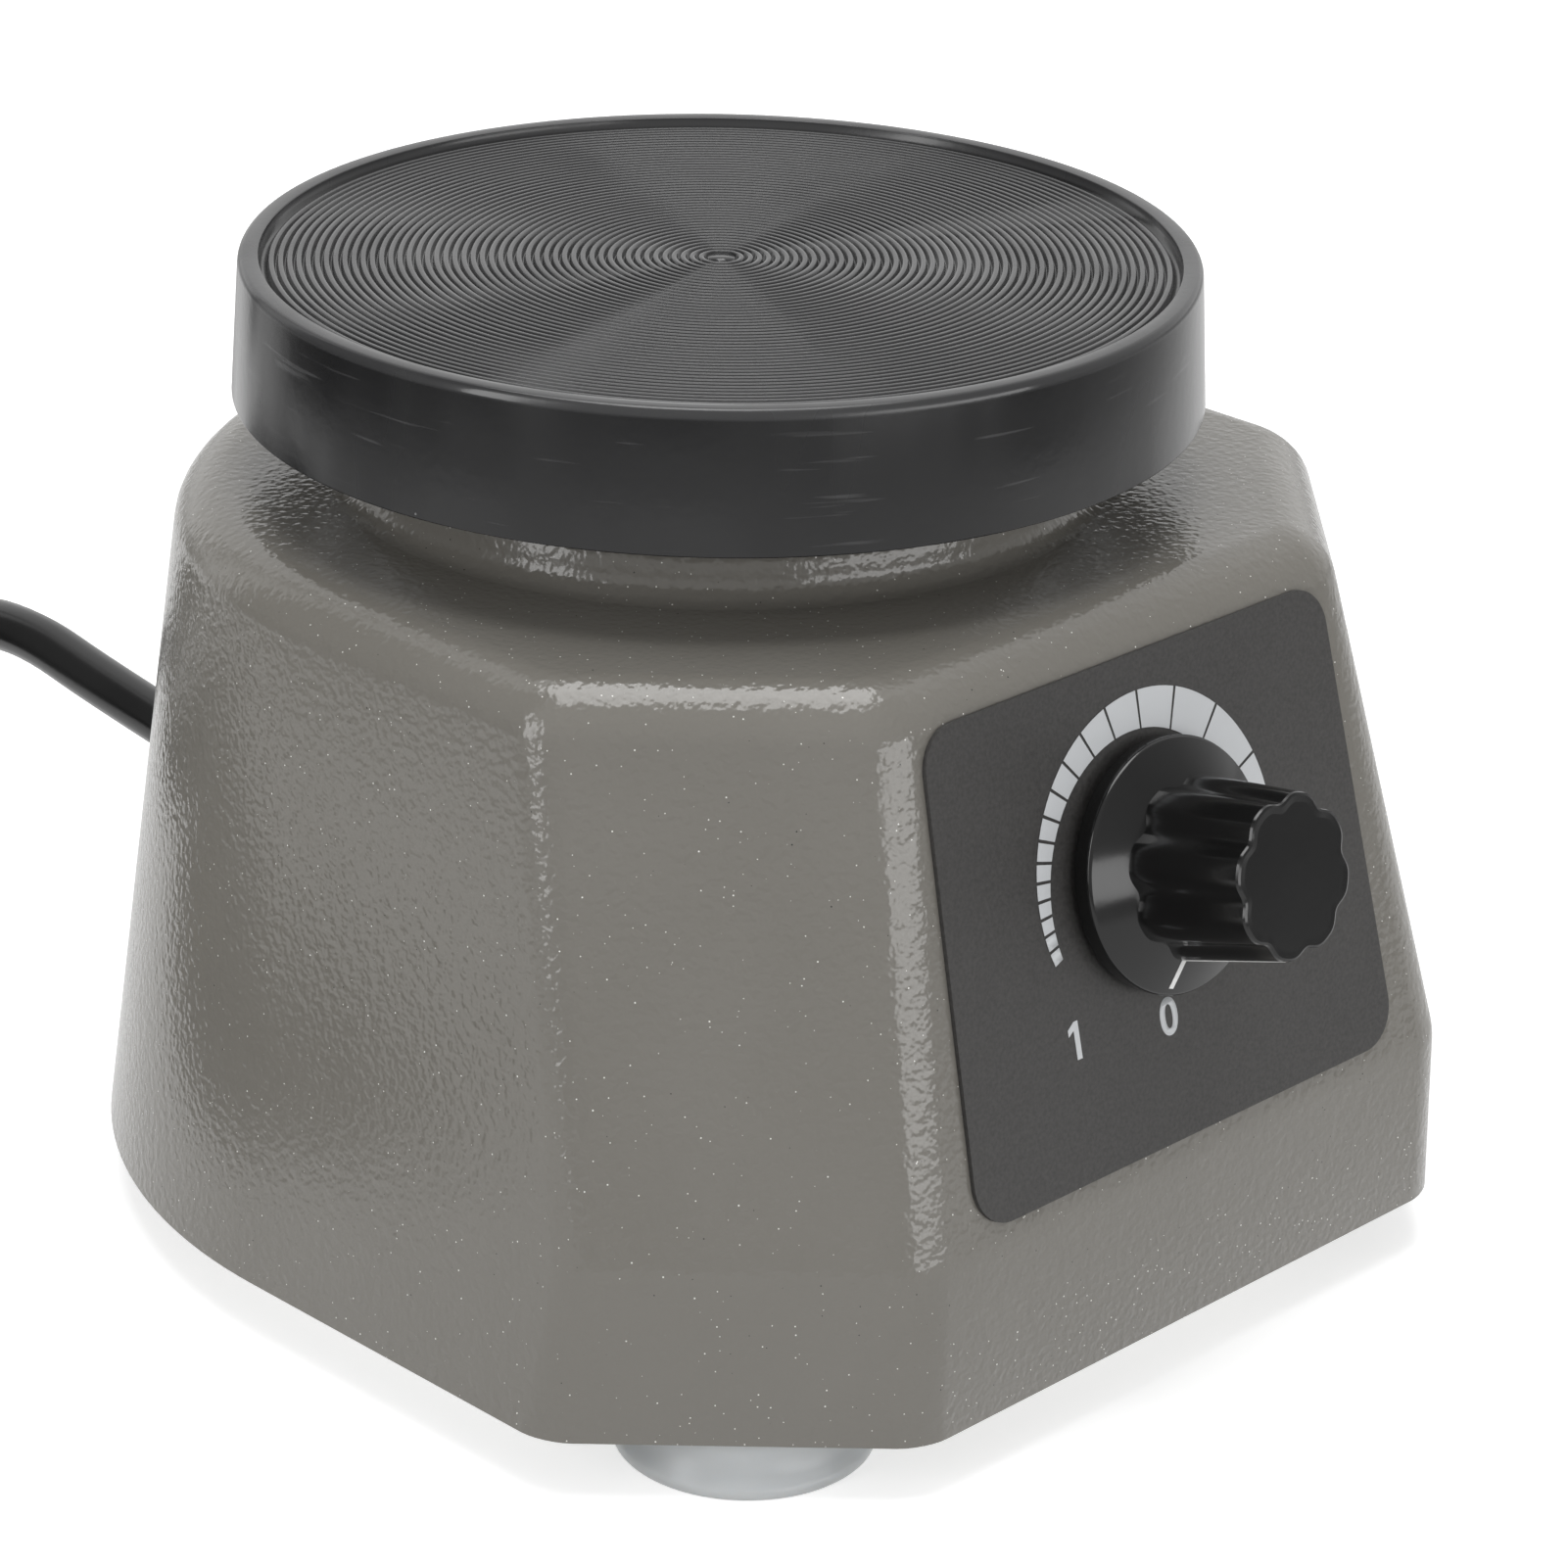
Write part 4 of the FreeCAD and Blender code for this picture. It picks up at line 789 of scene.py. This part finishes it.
for place, (x, y) in FOOT_PLACES.items():
    foot_bm = bmesh.new()
    turn_profile(foot_bm, [(SCREW_HOLE_R, SPIGOT_TOP), (SCREW_HOLE_R, FOOT_SEAT), (FOOT_WELL_R, FOOT_SEAT),
                           (FOOT_WELL_R, -FOOT_HEIGHT, 0.6 * MM), (FOOT_R, -FOOT_HEIGHT, 0.45 * MM),
                           (FOOT_R, FOOT_LIP - FOOT_HEIGHT, 0.35 * MM),
                           (FOOT_WAIST_R, FOOT_WAIST, 1.0 * MM), (FOOT_NECK_R, 0.0, 0.3 * MM),
                           (SPIGOT_R, 0.0), (SPIGOT_R, SPIGOT_TOP), (SCREW_HOLE_R, SPIGOT_TOP)], steps=96)
    bmesh.ops.translate(foot_bm, verts=foot_bm.verts, vec=AXIS + Vector((x, y, 0.0)) * MM)
    add_piece("cushion_" + place, foot_bm, "base_unit", cushion, "clear_rubber", "foot_" + place)


# Strain relief: a moulded black bush clipped in the back wall, with rings cut in its tapering sleeve so
# that it bends with the lead.
EXIT_HEIGHT = 10.6 * MM
CORD_R = 3.1 * MM
CLIP_R = 6.0 * MM
CLIP_BACK, CLIP_FRONT = -7.4 * MM, -4.5 * MM
NECK_R = 4.8 * MM
FLANGE_R = 7.0 * MM
FLANGE_BACK, FLANGE_FRONT = 0.3 * MM, 3.0 * MM
SLEEVE_ROOT = (5.6 * MM, 4.2 * MM)
SLEEVE_R = 5.8 * MM
SLEEVE_TAPER = 1.4 * MM
RELIEF_LENGTH = 28.0 * MM
TIP_R = 4.1 * MM
TIP_LENGTH = 2.0 * MM
RELIEF_RINGS = 7
FIRST_RING = 6.0 * MM
RING_PITCH = (RELIEF_LENGTH - FIRST_RING - TIP_LENGTH) / RELIEF_RINGS
RING_WIDTH = RING_PITCH * 0.6
RING_DEPTH = 0.9 * MM
RING_ROUND = 0.25 * MM
back_tilt = atan2(SIDE_BOTTOM - SIDE_TOP, HOUSING_TOP)
exit_y = SIDE_BOTTOM + (SIDE_TOP - SIDE_BOTTOM) * EXIT_HEIGHT / HOUSING_TOP
lead_exit = AXIS + Vector((0.0, exit_y, EXIT_HEIGHT))
lead_way = Matrix.Translation(lead_exit) @ Matrix.Rotation(-pi / 2 + back_tilt, 4, "X")

lead_pvc = grained_finish("lead_pvc", (0.009, 0.009, 0.009), (0.014, 0.014, 0.014),
                          roughness=(0.20, 0.28), grain=1500.0, bump=0.01 * MM)

relief_profile = [(CORD_R, CLIP_BACK), (CLIP_R, CLIP_BACK), (CLIP_R, CLIP_FRONT), (NECK_R, CLIP_FRONT),
                  (NECK_R, FLANGE_BACK), (FLANGE_R, FLANGE_BACK, 0.3 * MM),
                  (FLANGE_R, FLANGE_FRONT, 0.8 * MM), SLEEVE_ROOT]
for number in range(RELIEF_RINGS):
    along = FIRST_RING + number * RING_PITCH
    radius = SLEEVE_R - SLEEVE_TAPER * number / (RELIEF_RINGS - 1)
    relief_profile += [(radius - RING_DEPTH, along), (radius, along, RING_ROUND),
                       (radius, along + RING_WIDTH, RING_ROUND), (radius - RING_DEPTH, along + RING_WIDTH)]
relief_profile += [(TIP_R, RELIEF_LENGTH - TIP_LENGTH), (TIP_R, RELIEF_LENGTH, 0.5 * MM),
                   (CORD_R, RELIEF_LENGTH), (CORD_R, CLIP_BACK)]
relief_bm = bmesh.new()
turn_profile(relief_bm, relief_profile, steps=64)
bmesh.ops.transform(relief_bm, matrix=lead_way, verts=relief_bm.verts)
add_piece("lead_relief", relief_bm, "base_unit", lead_pvc, "cord_black", "strain_relief")


# Mains lead: round black PVC cable. It leaves the back square to the wall, sags to the bench behind the
# object, and the rest is wound in two flat layers of three turns with the plug at its end.
LEAD_ROUTE = [(0.0, 100.23, 20.11), (0.0, 115.11, 21.98), (0.0, 127.88, 24.3), (0.0, 140.88, 22.8),
              (0.0, 154.38, 16.4), (0.0, 167.38, 8.2), (0.0, 180.88, 4.1), (0.0, 194.88, 4.1),
              (0.0, 201.08, 4.1)]
COIL_TURNS = 3
COIL_MEAN_R = 34.5
COIL_STEP = 6.7
COIL_TAIL = 20.0
POINTS_A_TURN = 24
SPREAD = 1 / cos(pi / POINTS_A_TURN)

route = list(LEAD_ROUTE)
here = Vector(LEAD_ROUTE[-1])
heading = 1.0
radius = COIL_MEAN_R + COIL_STEP * COIL_TURNS / 2
half_turns = [radius - COIL_STEP / 2 * number for number in range(2 * COIL_TURNS + 1)]
half_turns += [radius - COIL_STEP / 2 * number for number in reversed(range(2 * COIL_TURNS))]
for number, bend in enumerate(half_turns):
    climb = COIL_STEP if number == 2 * COIL_TURNS else 0.0
    centre = here - Vector((heading * bend, 0.0, 0.0))
    out = heading * bend * SPREAD
    for step in range(1, POINTS_A_TURN // 2 + 1):
        share = step / (POINTS_A_TURN // 2) - 1 / POINTS_A_TURN
        angle = pi * share
        route.append(centre + Vector((out * cos(angle), out * sin(angle), climb * share)))
    here = centre - Vector((heading * bend, 0.0, -climb))
    heading = -heading
route.append(here)
route.append(here + Vector((0.0, heading * COIL_TAIL, 0.0)))

lead_curve = bpy.data.curves.new("mains_cable", "CURVE")
lead_curve.dimensions = "3D"
lead_curve.bevel_depth = CORD_R
lead_curve.bevel_resolution = 6
lead_curve.resolution_u = 6
lead_curve.use_fill_caps = True
spline = lead_curve.splines.new("NURBS")
spline.points.add(len(route) - 1)
for point, place in zip(spline.points, route):
    point.co = (*(Vector(place) * MM), 1.0)
spline.order_u = 3
spline.use_endpoint_u = True
lead_curve.materials.append(lead_pvc)
cable = bpy.data.objects.new("mains_cable", lead_curve)
bpy.context.scene.collection.objects.link(cable)
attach(cable, "base_unit")
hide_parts("mains_lead", "mains_lead_coil")
dress(lead_pvc, "mains_lead_tail")


# Plug and tie at the coil: the moulded plug with its plated pins stays the CAD's own shape, and a soft
# strap holds the turns together.
TIE_ROUND = 3.0 * MM
TIE_THICK = 0.8 * MM
plug_plastic = grained_finish("plug_pvc", (0.013, 0.013, 0.013), (0.020, 0.020, 0.020),
                              roughness=(0.34, 0.46), grain=1100.0, bump=0.03 * MM)
pin_metal = grained_finish("pin_plating", (0.62, 0.52, 0.30), (0.70, 0.60, 0.36),
                           roughness=(0.18, 0.30), grain=900.0, bump=0.004 * MM, metallic=1.0)
strap = grained_finish("tie_strap", (0.016, 0.016, 0.017), (0.024, 0.024, 0.025),
                       roughness=(0.5, 0.65), grain=2200.0, bump=0.04 * MM)
dress(plug_plastic, "plug_body")
dress(pin_metal, "plug_pins")

tie_low, tie_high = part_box("coil_tie")
tie_middle = Matrix.Translation((tie_low + tie_high) / 2)
tie_bm = bmesh.new()
bmesh.ops.create_cube(tie_bm, size=1.0, matrix=tie_middle @ Matrix.Diagonal((*(tie_high - tie_low), 1.0)))
along_x = [edge for edge in tie_bm.edges if abs(edge.verts[0].co.x - edge.verts[1].co.x) > 1 * MM]
round_edges(tie_bm, along_x, TIE_ROUND, segments=6)
ends = [face for face in tie_bm.faces if abs(face.normal.x) > 0.9]
bmesh.ops.inset_individual(tie_bm, faces=ends, thickness=TIE_THICK, use_even_offset=True)
loops = [edge for face in ends for edge in face.edges]
bmesh.ops.delete(tie_bm, geom=ends, context="FACES_ONLY")
bmesh.ops.bridge_loops(tie_bm, edges=loops)
tie = add_piece("coil_strap", tie_bm, "base_unit", strap, "black_plastic", "coil_tie")
keep_flats(tie)


# Inner works, seen only past the table's edge or from below: zinc-plated steel, turned alloy, the magnet
# with its winding, and the control board under the panel. They stay the CAD's own shapes.
zinc = grained_finish("zinc_plate", (0.52, 0.52, 0.50), (0.62, 0.62, 0.60),
                      roughness=(0.28, 0.42), grain=500.0, bump=0.01 * MM, metallic=1.0)
alloy = grained_finish("turned_alloy", (0.60, 0.61, 0.62), (0.70, 0.71, 0.72),
                       roughness=(0.26, 0.40), grain=1200.0, bump=0.01 * MM, metallic=1.0)
stack = grained_finish("core_steel", (0.16, 0.16, 0.17), (0.24, 0.24, 0.25),
                       roughness=(0.40, 0.55), grain=1400.0, bump=0.03 * MM, metallic=1.0)
copper = grained_finish("enamel_wire", (0.42, 0.14, 0.05), (0.52, 0.20, 0.08),
                        roughness=(0.24, 0.34), grain=1600.0, bump=0.04 * MM, metallic=1.0)
nylon = grained_finish("moulded_nylon", (0.55, 0.54, 0.50), (0.62, 0.61, 0.57),
                       roughness=(0.40, 0.52), grain=900.0, bump=0.02 * MM)
resin = grained_finish("board_resin", (0.04, 0.14, 0.06), (0.05, 0.18, 0.08),
                       roughness=(0.30, 0.42), grain=1300.0, bump=0.01 * MM)
moulding = grained_finish("black_moulding", (0.016, 0.016, 0.016), (0.024, 0.024, 0.024),
                          roughness=(0.36, 0.48), grain=1000.0, bump=0.02 * MM)
dress(zinc, "base_plate", "foot_screws", "spring_screws", "magnet_screws", "board_screws", "table_screw",
      "armature_bolt", "potentiometer_washer", "potentiometer_nut", "magnet_bracket", "spring_clamp_left",
      "spring_clamp_right")
dress(alloy, "table_plate", "table_stem", "heat_sink", "armature_spacer", "potentiometer_shaft")
dress(stack, "magnet_core", "armature")
dress(copper, "coil_winding")
dress(nylon, "coil_bobbin", "board_pillars", "terminal_block")
dress(resin, "control_board")
dress(moulding, "potentiometer", "capacitor", "triac")


# Dust seal: a soft ring of black foam in the boss's bore, round the table's stem. It keeps powder out of
# the drive and lets the stem move.
SEAL_HOLE_R = 9.4 * MM
SEAL_ROUND = 1.0 * MM
foam = grained_finish("seal_foam", (0.02, 0.02, 0.02), (0.035, 0.035, 0.035),
                      roughness=(0.85, 0.95), grain=1800.0, bump=0.2 * MM)
seal_low, seal_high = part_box("dust_seal")
seal_bm = bmesh.new()
turn_profile(seal_bm, [(SEAL_HOLE_R, seal_low.z), (STEM_BORE_R, seal_low.z, 0.5 * MM),
                       (STEM_BORE_R, seal_high.z, SEAL_ROUND), (SEAL_HOLE_R, seal_high.z, SEAL_ROUND),
                       (SEAL_HOLE_R, seal_low.z)], steps=96)
bmesh.ops.translate(seal_bm, verts=seal_bm.verts, vec=(0.0, AXIS.y, 0.0))
add_piece("foam_seal", seal_bm, "base_unit", foam, "foam", "dust_seal")


# Leaf springs: two waisted strips of spring steel, clamped to the housing at their ends. Their middles are
# held between the stem and the armature and go up and down with them.
SPRING_ROW = 14.0 * MM
SPRING_HALF = 47.0 * MM
SPRING_LOW = 58.0 * MM
SPRING_THICK = 1.2 * MM
STRIP_HALF = 6.0 * MM
YOKE_EDGE = 14.0 * MM
RAIL_EDGE = 33.0 * MM
WAIST_R = 20.9 * MM
WAIST_HALF = 4.0 * MM
spring = grained_finish("spring_strip", (0.30, 0.30, 0.31), (0.40, 0.40, 0.41),
                        roughness=(0.24, 0.36), grain=900.0, bump=0.01 * MM, metallic=1.0)

for row, y in (("front", -SPRING_ROW), ("rear", SPRING_ROW)):
    for side, way in (("left", -1), ("right", 1)):
        leaf_bm = bmesh.new()
        bmesh.ops.create_grid(leaf_bm, x_segments=24, y_segments=1, size=0.5)
        for vert in leaf_bm.verts:
            along = (vert.co.x + 0.5) * SPRING_HALF
            off_waist = along - (YOKE_EDGE + RAIL_EDGE) / 2
            half_wide = WAIST_R + WAIST_HALF - sqrt(max(WAIST_R ** 2 - off_waist ** 2, 0.0))
            vert.co = (way * along, y + 2 * vert.co.y * min(STRIP_HALF, half_wide), SPRING_LOW)
        raised = bmesh.ops.extrude_face_region(leaf_bm, geom=leaf_bm.faces[:])["geom"]
        bmesh.ops.translate(leaf_bm, verts=[item for item in raised if isinstance(item, bmesh.types.BMVert)],
                            vec=(0.0, 0.0, SPRING_THICK))
        bmesh.ops.translate(leaf_bm, verts=leaf_bm.verts, vec=AXIS)
        leaf = add_piece(f"spring_{row}_{side}", leaf_bm, None, spring, "spring_steel", f"leaf_spring_{row}")
        keep_flats(leaf)
        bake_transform(leaf)
